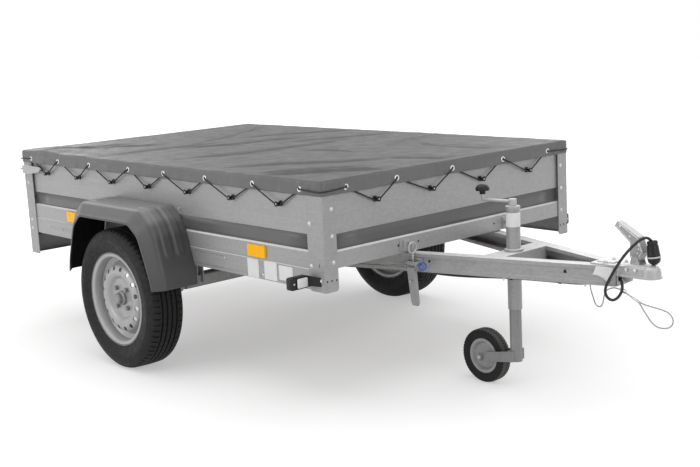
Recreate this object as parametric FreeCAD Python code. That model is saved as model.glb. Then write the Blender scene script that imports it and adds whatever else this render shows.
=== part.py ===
import FreeCAD, Part
import math
import os

# Single-axle tipping utility trailer with a tied tarpaulin.
# Millimetres. Built with x = 0 on the wheel axis, +X to the coupling, +Y to the left side,
# z = 0 on the ground. Every piece is moved at the end so that x = 0 is mid length.

os.makedirs("parts", exist_ok=True)
V = FreeCAD.Vector

# Overall body
REAR_X = -961.0
FRONT_X = 1069.0
HALF_W = 627.0
WALL_TOP = 778.0
SEAT = 0.3
MOVE_GAP = 6.0

# Length of the whole trailer between its rear latch and the coupling's nose
NOSE_X = 1897.0
LATCH_REAR_X = -990.0
MID_X = (NOSE_X + LATCH_REAR_X) / 2.0

# Sheet walls, as insets from the outer face of the corner posts
SHEET_T = 1.5
POST_T = 3.0
INSET_LOW = POST_T + SEAT
INSET_MID = INSET_LOW + 1.0
INSET_UP = INSET_LOW + 6.0
CREASE_UP = 545.8
CREASE_LOW = 488.6
SIDE_LOW = 419.0
FRONT_LOW = 489.0
RAIL_W = 25.0
RAIL_H = 14.0

# Corner posts
FRONT_POST_LOW = 416.0
FRONT_POST_X = 80.0
FRONT_POST_Y = 56.0
REAR_POST_LOW = 322.0
REAR_POST_X = 73.0
REAR_POST_Y = 33.0
POST_ROUND = 12.0

# Floor
FLOOR_T = 12.0
FLOOR_Z = FRONT_LOW + SHEET_T + SEAT
FLOOR_REAR = REAR_X + 33.0
FLOOR_HALF = HALF_W - 13.0
BEARER_HALF = HALF_W - 22.0
BEARER_X = (-640.0, -330.0)
BEARER_W = 60.0
BEARER_H = 45.0

# Tailgate
GATE_HALF = HALF_W - REAR_POST_Y - MOVE_GAP
GATE_LOW = 437.0
GATE_TOP = WALL_TOP - 2.0
GATE_DEPTH = 25.0
HINGE_X = REAR_X - 11.0
HINGE_Z = 428.0
HINGE_R = 9.0
HINGE_PIN_R = 4.0
HINGE_Y = (-HALF_W + 207.0, 0.0, HALF_W - 207.0)
HINGE_W = 34.0
LATCH_Z = GATE_TOP - 74.0

# Rear sill and lamp panel
SILL_D = 38.0
SILL_LOW = 405.0
APRON_X = REAR_X + 31.0
APRON_T = 2.0
APRON_LOW = 328.0
LAMP_Y = HALF_W - 157.0
LAMP_W = 190.0
LAMP_H = 74.0
LAMP_Z = 372.0

# Drawbar beams
BEAM_A = HALF_W - 64.4
BEAM_FRONT = 1757.0
BEAM_TIP = 33.7
BEAM_SLOPE = (BEAM_A - BEAM_TIP) / BEAM_FRONT
BEAM_LOW = 420.0
BEAM_TOP = 484.0
BEAM_W = 41.0
BEAM_T = 3.0
BEAM_REAR = -40.0

# Tipping pivot
PIVOT_X = -60.0
PIVOT_Z = 455.0
PIVOT_BOSS_R = 20.0
PIVOT_PIN_R = 8.0
RUN_GAP = 0.05
EAR_T = 6.0
BOSS_IN = BEAM_A - 34.6
BOSS_OUT = BEAM_A + 17.4
EAR_INNER = BOSS_IN - 9.0
EAR_OUTER = BOSS_OUT + 3.0

# Axle
WHEEL_R = 272.0
AXLE_X = 140.0
AXLE_Z = 316.0
AXLE_SIZE = 50.0
AXLE_WALL = 4.0
AXLE_HALF = HALF_W - 67.0
ARM_IN = AXLE_HALF + 15.0
ARM_T = 22.0
STUB_R = 14.0

# Wheels
WHEEL_Y = HALF_W + 84.0
TYRE_HALF = 76.0
RIM_R = 182.5
RIM_OFFSET = 30.0
HUB_R = 32.0
HUB_BORE = 28.5
BOLT_CIRCLE = 100.0
VENT_COUNT = 16

# Mudguards
GUARD_T = 3.0
GUARD_CROWN = 140.0
GUARD_LIP = 170.0
RIB_Y = (42.0, 92.0)
RIB_W = 30.0
RIB_RISE = 3.0

# Jockey wheel
JOCKEY_X = 1336.0
JOCKEY_Y = -16.0
JOCKEY_R = 24.0
JOCKEY_BORE = 21.0
JOCKEY_TOP = 637.0
JOCKEY_LOW = 283.0
LEG_R = 20.6
LEG_BORE = 17.0
LEG_TOP = 470.0
LEG_LOW = 99.0
CASTER_R = 95.5
CASTER_TRAIL = 136.0
CASTER_HALF = 21.0
CRANK_ARM = 116.0
CRANK_TURN = 190.0

# Cross member round the jockey tube
CROSS_REAR = 1302.0
CROSS_FRONT = 1376.0
CROSS_LOW = 430.0

# Coupling
BALL_X = 1862.0
BALL_Z = 468.0
RIM_LOW = 456.0
RIM_TOP = 461.0
BALL_R = 25.4
NECK_TOP = 495.0
DOME_TOP = BALL_Z + BALL_R + 4.1
HANDLE_X = 1816.0
HANDLE_Z = 507.0

# Tarpaulin
TARP_T = 2.0
TARP_LOW = WALL_TOP - 48.0
TARP_TOP = WALL_TOP + SEAT + TARP_T
SKIRT_IN = HALF_W + SEAT
TARP_ROUND = 4.8
CORD_R = 2.5
EYE_Z = WALL_TOP - 29.0
HOOK_Z = WALL_TOP - 86.0
EYE_R = 5.5
LENGTH = FRONT_X - REAR_X
SIDE_EYES = [REAR_X + LENGTH * k for k in (0.0394, 0.1576, 0.2862, 0.4345, 0.5567, 0.6882, 0.8251, 0.9478)]
SIDE_HOOKS = [REAR_X + LENGTH * k for k in (0.1054, 0.2374, 0.3709, 0.4995, 0.6315, 0.7631, 0.8931)]
FRONT_EYES = [HALF_W * k for k in (-0.829, -0.464, -0.030, 0.400, 0.812)]
FRONT_HOOKS = [HALF_W * k for k in (-0.619, -0.201, 0.209, 0.627)]
HOOK_NECK_R = 5.0
HOOK_HEAD_R = 9.0

# Loose lead and cable
LEAD_R = 4.5
LEAD_START = 700.0
LEAD_STEP = 94.0
LEAD_CLIPS = 10
CABLE_R = 2.0
LEAD_FRONT = [(1622, -36, 412), (1662, -12, 416), (1697, 3, 436), (1732, -10, 446), (1763, -20, 446),
              (1781, -33, 436), (1788, -42, 414), (1776, -48, 390), (1757, -52, 379), (1739, -55, 388),
              (1733, -57, 408), (1741, -57, 432), (1760, -56, 464), (1781, -54, 498), (1803, -50, 530),
              (1829, -41, 561), (1847, -30, 579), (1863, -13, 586)]

# Front latches between box and drawbar
LATCH_X = FRONT_X + 20.0
LATCH_LOW = 308.0

NODES = {}


def box(x0, x1, y0, y1, z0, z1):
    """Box between two corners given in any order."""
    lo = V(min(x0, x1), min(y0, y1), min(z0, z1))
    return Part.makeBox(abs(x1 - x0), abs(y1 - y0), abs(z1 - z0), lo)


def rod(p, q, r):
    """Cylinder from p to q."""
    a = V(*p)
    d = V(*q) - a
    return Part.makeCylinder(r, d.Length, a, d)


def prism(points, axis, lo, hi):
    """Polygon pushed along one axis; points are the other two coordinates in order."""
    if axis == "x":
        pts = [V(lo, a, b) for a, b in points]
        step = V(hi - lo, 0, 0)
    elif axis == "y":
        pts = [V(a, lo, b) for a, b in points]
        step = V(0, hi - lo, 0)
    else:
        pts = [V(a, b, lo) for a, b in points]
        step = V(0, 0, hi - lo)
    wire = Part.makePolygon(pts + [pts[0]])
    return Part.Face(wire).extrude(step)


def sheet(points, t):
    """Closed outline of a bent sheet: the line itself and its offset to the right."""
    n = len(points)
    back = []
    for k in range(n):
        norms = []
        for a, b in ((k - 1, k), (k, k + 1)):
            if a < 0 or b > n - 1:
                continue
            dx = points[b][0] - points[a][0]
            dy = points[b][1] - points[a][1]
            ln = math.hypot(dx, dy)
            norms.append((dy / ln, -dx / ln))
        if len(norms) == 1:
            ox, oy = norms[0]
        else:
            sx = norms[0][0] + norms[1][0]
            sy = norms[0][1] + norms[1][1]
            k2 = sx * norms[0][0] + sy * norms[0][1]
            ox, oy = sx / k2, sy / k2
        back.append((points[k][0] + ox * t, points[k][1] + oy * t))
    return points + back[::-1]


def revolve(points, centre, axis):
    """Ring from (radius, distance along axis) points, turned round an axis along Y."""
    pts = [V(centre[0] + r, centre[1] + w * axis, centre[2]) for r, w in points]
    face = Part.Face(Part.makePolygon(pts + [pts[0]]))
    return face.revolve(V(*centre), V(0, 1, 0), 360)


def revolve_z(points, x, y):
    """Ring from (radius, z) points, turned round an upright axis."""
    pts = [V(x + r, y, z) for r, z in points]
    face = Part.Face(Part.makePolygon(pts + [pts[0]]))
    return face.revolve(V(x, y, 0), V(0, 0, 1), 360)


def mirror(shape):
    """Copy on the other side of the middle plane."""
    return shape.mirror(V(0, 0, 0), V(0, 1, 0))


def both(shape):
    """The piece and its mirror image."""
    return Part.makeCompound([shape, mirror(shape)])


def fuse(shapes):
    """One solid from several that overlap."""
    out = shapes[0]
    if len(shapes) > 1:
        out = out.multiFuse(shapes[1:])
    return out.removeSplitter()


def round_edges(shape, r, test):
    """Fillet of the edges whose midpoint and direction pass the test."""
    picked = []
    for e in shape.Edges:
        if len(e.Vertexes) != 2:
            continue
        a = e.Vertexes[0].Point
        b = e.Vertexes[1].Point
        if test((a + b) * 0.5, (b - a)):
            picked.append(e)
    return shape.makeFillet(r, picked) if picked else shape


def tube_path(points, radius, corner):
    """Round cord along straight runs joined by tangent arcs; a point's fourth value caps its arc."""
    pts = [V(*p[:3]) for p in points]
    caps = [p[3] if len(p) > 3 else corner for p in points]
    edges = []
    start = pts[0]
    radii = []
    for k in range(1, len(pts) - 1):
        a = pts[k] - pts[k - 1]
        b = pts[k + 1] - pts[k]
        turn = a.getAngle(b)
        run = min(a.Length, b.Length)
        rad = 0.45 * run / math.tan(turn / 2.0)
        if caps[k]:
            rad = min(rad, caps[k])
        cut = rad * math.tan(turn / 2.0)
        ua = V(a).normalize()
        ub = V(b).normalize()
        p0 = pts[k] - ua * cut
        p1 = pts[k] + ub * cut
        inward = (ub - ua).normalize()
        centre = pts[k] + inward * (rad / math.cos(turn / 2.0))
        mid = centre + (pts[k] - centre).normalize() * rad
        if (p0 - start).Length > 1e-4:
            edges.append(Part.LineSegment(start, p0).toShape())
        edges.append(Part.Arc(p0, mid, p1).toShape())
        start = p1
        radii.append(rad)
    edges.append(Part.LineSegment(start, pts[-1]).toShape())
    wire = Part.Wire(edges)
    d = (pts[1] - pts[0]).normalize()
    ring = Part.Wire(Part.Circle(pts[0], d, radius).toShape())
    solid = wire.makePipeShell([ring], True, False)
    area = math.pi * radius * radius
    print("cord length", round(wire.Length, 1), "volume ratio", round(solid.Volume / (area * wire.Length), 4),
          "least arc", round(min(radii), 1))
    return solid


def add(name, shape):
    """Keep one node."""
    NODES[name] = shape


# Sheet walls with two creases and a hollow top rail

def wall_line(low, flange, top, shift):
    """Outer line of a wall from its lower flange up, as (inset, z)."""
    return [(INSET_LOW + shift + flange, low), (INSET_LOW + shift, low),
            (INSET_LOW + shift, CREASE_LOW - 2.6), (INSET_MID + shift + 1.0, CREASE_LOW),
            (INSET_MID + shift, CREASE_LOW + 2.4), (INSET_MID + shift, CREASE_UP - 3.0),
            (INSET_UP + shift, CREASE_UP + 3.0), (INSET_UP + shift, top)]


def rail_line(top, inset):
    """Hollow top rail rolled inwards from the wall."""
    return [(inset, top - RAIL_H - 8.0), (inset, top), (inset + RAIL_W, top),
            (inset + RAIL_W, top - RAIL_H), (inset + SHEET_T + 0.6, top - RAIL_H)]


side_wall = prism([(d - HALF_W, z) for d, z in sheet(wall_line(SIDE_LOW, 15.0, WALL_TOP, 0.0), SHEET_T)],
                  "x", REAR_X + POST_T + SEAT, FRONT_X - 14.0)
side_rail = prism([(d - HALF_W, z) for d, z in sheet(rail_line(WALL_TOP, INSET_UP), SHEET_T)],
                  "x", REAR_X + 33.0, FRONT_X - 14.0)
side_angle = box(BEAM_REAR + 20, FRONT_X - 14.0, -(HALF_W - INSET_MID - 1.0), -(HALF_W - 35.0),
                 FRONT_LOW, FRONT_LOW + SHEET_T)
side_panel = fuse([side_wall, side_rail, side_angle])
for hx, hz in ((-758, 455), (-656, 455), (516, 471), (518, 436), (738, 470), (735, 436)):
    side_panel = side_panel.cut(rod((hx, -HALF_W - 5, hz), (hx, -HALF_W + 12, hz), 4.0))
add("side_panels", both(side_panel))

front_half = HALF_W - INSET_LOW
rail_half = HALF_W - INSET_UP - RAIL_W - 1.0
front_line = [(INSET_MID, FRONT_LOW), (INSET_MID, CREASE_UP - 3.0),
              (INSET_UP, CREASE_UP + 3.0), (INSET_UP, WALL_TOP)]
front_wall = prism([(FRONT_X - d, z) for d, z in sheet(front_line, SHEET_T)], "y", -front_half, front_half)
front_rail = prism([(FRONT_X - d, z) for d, z in sheet(rail_line(WALL_TOP, INSET_UP), SHEET_T)],
                   "y", -rail_half, rail_half)
front_foot = box(FRONT_X - INSET_MID, FRONT_X - INSET_MID - 26.0, -rail_half, rail_half,
                 FRONT_LOW, FRONT_LOW + SHEET_T)
front_panel = fuse([front_wall, front_rail, front_foot])
add("front_panel", front_panel)

# Corner posts

def front_post():
    """Folded corner plate with rounded lower corners."""
    x, y = FRONT_X, -HALF_W
    outline = [(x - FRONT_POST_X, y), (x, y), (x, y + FRONT_POST_Y), (x - POST_T, y + FRONT_POST_Y),
               (x - POST_T, y + POST_T), (x - FRONT_POST_X, y + POST_T)]
    s = prism(outline, "z", FRONT_POST_LOW, WALL_TOP - 4.0)
    s = round_edges(s, 4.5, lambda m, d: abs(m.x - x) < 0.01 and abs(m.y - y) < 0.01 and abs(d.z) > 10)
    low = FRONT_POST_LOW
    s = round_edges(s, POST_ROUND, lambda m, d: abs(m.z - low) < 0.01 and abs(m.x - x + FRONT_POST_X) < 0.01
                    and abs(d.y) > 1)
    s = round_edges(s, POST_ROUND, lambda m, d: abs(m.z - low) < 0.01 and abs(m.y - y - FRONT_POST_Y) < 0.01
                    and abs(d.x) > 1)
    return s


def rear_post():
    """Folded post that runs down past the lamp panel."""
    x, y = REAR_X, -HALF_W
    outline = [(x, y), (x + REAR_POST_X, y), (x + REAR_POST_X, y + POST_T), (x + POST_T, y + POST_T),
               (x + POST_T, y + REAR_POST_Y), (x, y + REAR_POST_Y)]
    s = prism(outline, "z", REAR_POST_LOW, WALL_TOP - 4.0)
    s = round_edges(s, 4.5, lambda m, d: abs(m.x - x) < 0.01 and abs(m.y - y) < 0.01 and abs(d.z) > 10)
    low = REAR_POST_LOW
    s = round_edges(s, 5.0, lambda m, d: abs(m.z - low) < 0.01 and abs(m.x - x - REAR_POST_X) < 0.01
                    and abs(d.y) > 1)
    return s


add("front_posts", both(front_post()))
add("rear_posts", both(rear_post()))

# Floor and its bearers

add("floor", box(FLOOR_REAR, FRONT_X - INSET_UP - SHEET_T - 2.0, -FLOOR_HALF, FLOOR_HALF,
                 FLOOR_Z, FLOOR_Z + FLOOR_T))


def bearer(x):
    """Hat channel across the floor."""
    w, h, t = BEARER_W / 2.0, BEARER_H, 2.5
    top = FLOOR_Z - SEAT
    line = [(x - w - 16, top), (x - w, top), (x - w + 4, top - h), (x + w - 4, top - h), (x + w, top),
            (x + w + 16, top)]
    return prism(sheet(line, t), "y", -BEARER_HALF, BEARER_HALF)


sill_x1 = APRON_X + SILL_D
sill = box(APRON_X + SEAT, sill_x1, -BEARER_HALF, BEARER_HALF, SILL_LOW, FLOOR_Z - SEAT)
sill = sill.cut(box(APRON_X + SEAT + 2.5, sill_x1 - 2.5, -BEARER_HALF - 1, BEARER_HALF + 1,
                    SILL_LOW + 2.5, FLOOR_Z - SEAT - 2.5))
parts_sill = [sill]
for hy in HINGE_Y:
    for s in (-1, 1):
        y0 = hy + s * (HINGE_W / 2.0 + 1.0)
        y1 = y0 + s * 6.0
        arm = prism([(APRON_X + 1.0, 420.0), (APRON_X + 1.0, 430.0), (HINGE_X + 12.0, 430.0),
                     (HINGE_X, HINGE_Z + HINGE_R), (HINGE_X, HINGE_Z - HINGE_R)], "y", y0, y1)
        boss = rod((HINGE_X, y0, HINGE_Z), (HINGE_X, y1, HINGE_Z), HINGE_R)
        parts_sill += [arm, boss]
    parts_sill.append(rod((HINGE_X, hy - HINGE_W / 2 - 10, HINGE_Z), (HINGE_X, hy + HINGE_W / 2 + 10, HINGE_Z),
                          HINGE_PIN_R))
rear_sill = fuse(parts_sill)
add("rear_sill", rear_sill)

pivot_bar = box(PIVOT_X - 55.0, PIVOT_X + 13.0, -BEARER_HALF, BEARER_HALF, 481.5, FLOOR_Z - SEAT)
pivot_bar = pivot_bar.cut(box(PIVOT_X - 52.0, PIVOT_X + 10.0, -BEARER_HALF - 1, BEARER_HALF + 1,
                              484.0, FLOOR_Z - SEAT - 2.5))


def pivot_ear(y0):
    """Ear plate that hangs from the floor and holds the pivot pin."""
    r = PIVOT_BOSS_R
    plate = box(PIVOT_X - r, PIVOT_X + 13.0, y0, y0 + EAR_T, PIVOT_Z, 483.0)
    foot = rod((PIVOT_X, y0, PIVOT_Z), (PIVOT_X, y0 + EAR_T, PIVOT_Z), r)
    return plate.fuse(foot)


ears = [pivot_bar]
for s in (-1, 1):
    for y in (EAR_INNER, EAR_OUTER):
        ears.append(pivot_ear(y if s > 0 else -y - EAR_T))
    ears.append(rod((PIVOT_X, s * (EAR_INNER - 7), PIVOT_Z), (PIVOT_X, s * (EAR_OUTER + 13), PIVOT_Z), PIVOT_PIN_R))
    ears.append(rod((PIVOT_X, s * (EAR_INNER - 9), PIVOT_Z), (PIVOT_X, s * EAR_INNER, PIVOT_Z), 13.0))
    ears.append(rod((PIVOT_X, s * (EAR_OUTER + EAR_T), PIVOT_Z), (PIVOT_X, s * (EAR_OUTER + 15), PIVOT_Z), 13.0))
pivot_bearer = fuse(ears)
add("floor_bearers", Part.makeCompound([bearer(x) for x in BEARER_X] + [pivot_bearer]))

# Lamp panel, rear lamps and buffers

apron_half = HALF_W - POST_T - SEAT
apron_line = [(APRON_X + 22.0, APRON_LOW), (APRON_X - APRON_T, APRON_LOW), (APRON_X - APRON_T, SIDE_LOW - SEAT)]
apron = prism(sheet(apron_line, APRON_T), "y", -apron_half, apron_half)
add("lamp_panel", apron)

lamp_face = APRON_X - APRON_T - SEAT


def rear_lamp(y):
    """Rectangular lamp with rounded corners and a stepped lens."""
    z0, z1 = LAMP_Z - LAMP_H / 2, LAMP_Z + LAMP_H / 2
    y0, y1 = y - LAMP_W / 2, y + LAMP_W / 2
    body = box(lamp_face, lamp_face - 18.0, y0, y1, z0, z1)
    body = round_edges(body, 10.0, lambda m, d: abs(d.x) > 10)
    lens = box(lamp_face - 17.0, lamp_face - 27.0, y0 + 5, y1 - 5, z0 + 5, z1 - 5)
    lens = round_edges(lens, 8.0, lambda m, d: abs(d.x) > 5)
    return body.fuse(lens)


plate_lamp = box(lamp_face, lamp_face - 24.0, -55.0, 55.0, 398.0, 414.0)
plate_lamp = round_edges(plate_lamp, 7.0, lambda m, d: abs(d.y) > 50 and m.x < lamp_face - 20)
add("rear_lamps", Part.makeCompound([rear_lamp(-LAMP_Y), rear_lamp(LAMP_Y), plate_lamp]))

# Tailgate with the same creases, rails and end flanges

gate_line = [(GATE_DEPTH, GATE_LOW), (2.0, GATE_LOW), (2.0, CREASE_LOW - 2.6), (4.0, CREASE_LOW),
             (3.0, CREASE_LOW + 2.4), (3.0, CREASE_UP - 3.0), (8.0, CREASE_UP + 3.0), (8.0, GATE_TOP),
             (GATE_DEPTH + 2, GATE_TOP), (GATE_DEPTH + 2, GATE_TOP - RAIL_H), (10.5, GATE_TOP - RAIL_H)]
gate_parts = [prism([(REAR_X + d, z) for d, z in sheet(gate_line, SHEET_T)], "y", -GATE_HALF, GATE_HALF)]
for s in (-1, 1):
    gate_parts.append(box(REAR_X + 8.0, REAR_X + GATE_DEPTH, s * GATE_HALF, s * (GATE_HALF - SHEET_T),
                          GATE_LOW, GATE_TOP - 1.0))
for hy in HINGE_Y:
    leaf = [(REAR_X + 2.5, 500.0), (REAR_X - 1.0, 500.0), (REAR_X - 1.0, 446.0), (HINGE_X - 3.0, HINGE_Z + 8.0),
            (HINGE_X, HINGE_Z), (REAR_X + 2.5, 440.0)]
    gate_parts.append(prism(leaf, "y", hy - HINGE_W / 2, hy + HINGE_W / 2))
    gate_parts.append(rod((HINGE_X, hy - HINGE_W / 2, HINGE_Z), (HINGE_X, hy + HINGE_W / 2, HINGE_Z), HINGE_R))
for s in (-1, 1):
    plate = box(REAR_X - 3.0, REAR_X + 9.0, s * (GATE_HALF - 60), s * (GATE_HALF - 12), LATCH_Z - 18, LATCH_Z + 18)
    hasp = box(LATCH_REAR_X, REAR_X - 3.0, s * (GATE_HALF - 45), s * (GATE_HALF - 37), LATCH_Z - 12, LATCH_Z + 12)
    bail = box(LATCH_REAR_X + 10.0, LATCH_REAR_X + 16.0, s * (GATE_HALF - 50), s * (HALF_W + 8), LATCH_Z - 4, LATCH_Z + 2)
    turn = box(LATCH_REAR_X + 10.0, REAR_X + 8.0, s * (HALF_W + 2), s * (HALF_W + 8), LATCH_Z - 4, LATCH_Z + 2)
    gate_parts += [plate, hasp, bail, turn]
tailgate = fuse(gate_parts)
for hy in HINGE_Y:
    tailgate = tailgate.cut(rod((HINGE_X, hy - 30, HINGE_Z), (HINGE_X, hy + 30, HINGE_Z), HINGE_PIN_R + RUN_GAP))
add("tailgate", tailgate)


def gate_latch():
    """Over-centre latch on the rear post: base plate, pressed channel lever and its pin."""
    y = -HALF_W - SEAT
    base = box(REAR_X + 10.0, REAR_X + 66.0, y - 3.0, y, LATCH_Z - 21, LATCH_Z + 19)
    side = [(REAR_X + 14, -18.0), (REAR_X + 60, -22.0), (REAR_X + 150, -10.0), (REAR_X + 170, -3.0),
            (REAR_X + 176, 6.0), (REAR_X + 166, 13.0), (REAR_X + 60, 17.0), (REAR_X + 14, 15.0)]
    grip = prism([(x, LATCH_Z + dz) for x, dz in side], "y", y - 14.0, y - 6.0)
    hollow = [(REAR_X + 18, -14.0), (REAR_X + 60, -18.0), (REAR_X + 148, -6.5), (REAR_X + 164, -1.0),
              (REAR_X + 168, 5.0), (REAR_X + 160, 9.5), (REAR_X + 60, 13.0), (REAR_X + 18, 11.0)]
    grip = grip.cut(prism([(x, LATCH_Z + dz) for x, dz in hollow], "y", y - 12.0, y - 5.0))
    pin = rod((REAR_X + 40, y - 13.0, LATCH_Z), (REAR_X + 40, y - 1.0, LATCH_Z), 6.0)
    rib = box(REAR_X + 58.0, REAR_X + 62.0, y - 12.5, y - 6.0, LATCH_Z - 21, LATCH_Z + 16)
    return fuse([base, grip, pin, rib])


add("tailgate_latches", both(gate_latch()))

# Mudguards: faceted crown lofted to a lower outer lip

CROWN = [(-340, 350), (-329, 415), (-291, 543), (-266, 590), (-210, 634),
         (210, 634), (266, 590), (291, 543), (329, 415), (340, 350)]
LIP = [(-308, 347), (-299, 398), (-252, 500), (-222, 541), (-170, 578),
       (170, 578), (222, 541), (252, 500), (299, 398), (308, 347)]


def guard_wire(outline, y):
    """Closed wire of one mudguard section."""
    loop = sheet(outline, GUARD_T)
    pts = [V(a, y, b) for a, b in loop]
    return Part.makePolygon(pts + [pts[0]])


def guard_rib(y, sign):
    """Raised bead that runs from the crown down one slope and ends in a round."""
    line = [(sign * x, z) for x, z in ((150, 634), (210, 634), (266, 590), (291, 543), (315.3, 461))]
    loop = sheet(line, -sign * RIB_RISE)
    return prism(loop, "y", y - RIB_W / 2, y + RIB_W / 2)


def mudguard():
    """Thin shell with ribs on its front and rear slopes."""
    y0 = -(HALF_W - INSET_LOW + SEAT)
    yc = -(HALF_W + GUARD_CROWN)
    yl = -(HALF_W + GUARD_LIP)
    crown = Part.makeLoft([guard_wire(CROWN, y0), guard_wire(CROWN, yc)], True, True)
    lip = Part.makeLoft([guard_wire(CROWN, yc), guard_wire(LIP, yl)], True, True)
    hem = Part.makeLoft([guard_wire(LIP, yl), guard_wire(LIP, yl - 3.0)], True, True)
    ribs = []
    for sign in (1, -1):
        for y in RIB_Y:
            ribs.append(guard_rib(-(HALF_W + y), sign))
    return fuse([crown, lip, hem] + ribs)


add("mudguards", both(mudguard()))

# Reflectors and front marker lamps

refl = []
for x0 in (FRONT_X - 405.0, REAR_X + 358.0):
    r = box(x0, x0 + 96.0, -(HALF_W - INSET_MID + SEAT), -(HALF_W - INSET_MID + 7.0),
            CREASE_LOW + 7.4, CREASE_UP - 8.8)
    refl.append(round_edges(r, 4.0, lambda m, d: abs(d.y) > 3))
add("side_reflectors", both(Part.makeCompound(refl)))


def marker_lamp():
    """Front marker lamp: housing and lens on a folded arm from the post's side."""
    y = -HALF_W - SEAT
    x = FRONT_X - 67.0
    z = SIDE_LOW + 34.0
    plate = box(x + 18.0, x + 46.0, y, y - 2.5, z - 18, z + 12)
    arm = prism([(x + 46.0, y - 2.0), (x + 2.0, y - 16.0), (x - 24.0, y - 16.0), (x - 24.0, y - 19.0),
                 (x + 4.0, y - 19.0), (x + 46.0, y - 4.5)], "z", z - 17, z + 17)
    body = box(x - 27.0, x - 1.0, y - 13.0, y - 90.0, z - 21, z + 21)
    body = round_edges(body, 5.0, lambda m, d: abs(d.y) > 50 or abs(d.x) > 20)
    lens = box(x - 3.0, x + 7.0, y - 17.0, y - 86.0, z - 17, z + 17)
    lens = round_edges(lens, 4.0, lambda m, d: abs(d.x) > 8)
    return fuse([plate, arm, body, lens])


add("front_marker_lamps", both(marker_lamp()))

# Tarpaulin shell, rear skirt and hooks

skirt_out = SKIRT_IN + TARP_T
tarp_rear = REAR_X - SEAT
tarp_front = FRONT_X + SEAT
tarp = box(tarp_rear - TARP_T, tarp_front + TARP_T, -skirt_out, skirt_out, TARP_LOW, TARP_TOP)
tarp = round_edges(tarp, TARP_ROUND + TARP_T, lambda m, d: abs(d.z) > 10 and m.x > 0)
room = box(tarp_rear - TARP_T - 1, tarp_front, -SKIRT_IN, SKIRT_IN, TARP_LOW - 1, TARP_TOP - TARP_T)
room = round_edges(room, TARP_ROUND, lambda m, d: abs(d.z) > 10 and m.x > 0)
tarp = tarp.cut(room)
eye_cuts = []
for x in SIDE_EYES:
    for s in (-1, 1):
        eye_cuts.append(rod((x, s * (SKIRT_IN - 3), EYE_Z), (x, s * (skirt_out + 3), EYE_Z), EYE_R))
for y in FRONT_EYES:
    eye_cuts.append(rod((tarp_front - 3, y, EYE_Z), (tarp_front + TARP_T + 3, y, EYE_Z), EYE_R))
tarp = tarp.cut(Part.makeCompound(eye_cuts))
add("tarpaulin", tarp)
rear_skirt = box(tarp_rear - TARP_T, tarp_rear, -SKIRT_IN + SEAT, SKIRT_IN - SEAT,
                 TARP_LOW, TARP_TOP - TARP_T - SEAT)
for y in FRONT_EYES:
    rear_skirt = rear_skirt.cut(rod((tarp_rear - TARP_T - 3, y, EYE_Z), (tarp_rear + 3, y, EYE_Z), EYE_R))
add("rear_skirt", rear_skirt)


def hook(reach):
    """Round button hook, along +Z, base at 0."""
    return revolve_z([(0, 0), (10, 0), (10, 3), (HOOK_NECK_R, 4), (HOOK_NECK_R, reach - 4),
                      (HOOK_HEAD_R, reach - 3), (HOOK_HEAD_R, reach), (0, reach)], 0, 0)


hook_reach = INSET_UP + SEAT + TARP_T + 2 * CORD_R + 6.0
hooks = []
for x in SIDE_HOOKS:
    h = hook(hook_reach)
    h.rotate(V(0, 0, 0), V(1, 0, 0), 90)
    h.translate(V(x, -(HALF_W - INSET_UP), HOOK_Z))
    hooks += [h, mirror(h)]
for y in FRONT_HOOKS:
    h = hook(hook_reach)
    h.rotate(V(0, 0, 0), V(0, 1, 0), 90)
    h.translate(V(FRONT_X - INSET_UP, y, HOOK_Z))
    hooks.append(h)
add("tarp_hooks", Part.makeCompound(hooks))
gate_hooks = []
for y in FRONT_HOOKS:
    h = hook(hook_reach - 1.3)
    h.rotate(V(0, 0, 0), V(0, 1, 0), -90)
    h.translate(V(REAR_X + 8.0, y, HOOK_Z))
    gate_hooks.append(h)
add("tailgate_hooks", Part.makeCompound(gate_hooks))

# Elastic cord: through the eyelets and down round each hook, some legs behind the hem

CORD_OUT = TARP_T + 2 * SEAT + CORD_R + 0.5
CORD_IN = -6.0
CORD_HOOK = CORD_OUT - 1.6
wrap_r = HOOK_NECK_R + CORD_R + SEAT
corner_r = TARP_ROUND + TARP_T + SEAT + CORD_R + 0.5


def hook_corner(e0, e1, hook_at):
    """Corner of two runs that both touch a circle under the hook's neck, as (along, z)."""
    lines = []
    for along, sign in ((e0, 1), (e1, -1)):
        da = hook_at - along
        dz = HOOK_Z - EYE_Z
        dist = math.hypot(da, dz)
        turn = math.asin(wrap_r / dist)
        base = math.atan2(dz, da)
        a = base - turn if sign > 0 else base + turn
        lines.append((along, EYE_Z, math.cos(a), math.sin(a)))
    (x0, z0, u0, w0), (x1, z1, u1, w1) = lines
    t = ((x1 - x0) * w1 - (z1 - z0) * u1) / (u0 * w1 - w0 * u1)
    return x0 + t * u0, z0 + t * w0


def lace(eyes, hooks, outside):
    """Points (along, depth, z, cap) from eyelet to eyelet; outside lists each leg, two to a hook."""
    pts = []
    for k, at in enumerate(hooks):
        first, second = outside[k]
        pts.append((eyes[k], CORD_OUT if first else CORD_IN, EYE_Z, None))
        corner = hook_corner(eyes[k], eyes[k + 1], at)
        pts.append((corner[0], CORD_HOOK, corner[1], wrap_r))
        pts.append((eyes[k + 1], CORD_OUT if second else CORD_IN, EYE_Z, None))
    return pts


def through(points, first_out, last_out):
    """Adds the step through an eyelet wherever the cord changes sides there."""
    out = []
    e = points[0]
    if first_out != (e[1] > 0):
        out.append((e[0], CORD_OUT if first_out else CORD_IN, e[2], None))
    for k, q in enumerate(points):
        if k and out[-1][:3] == q[:3]:
            continue
        out.append(q)
    e = points[-1]
    if last_out != (e[1] > 0):
        out.append((e[0], CORD_OUT if last_out else CORD_IN, e[2], None))
    return out


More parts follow.
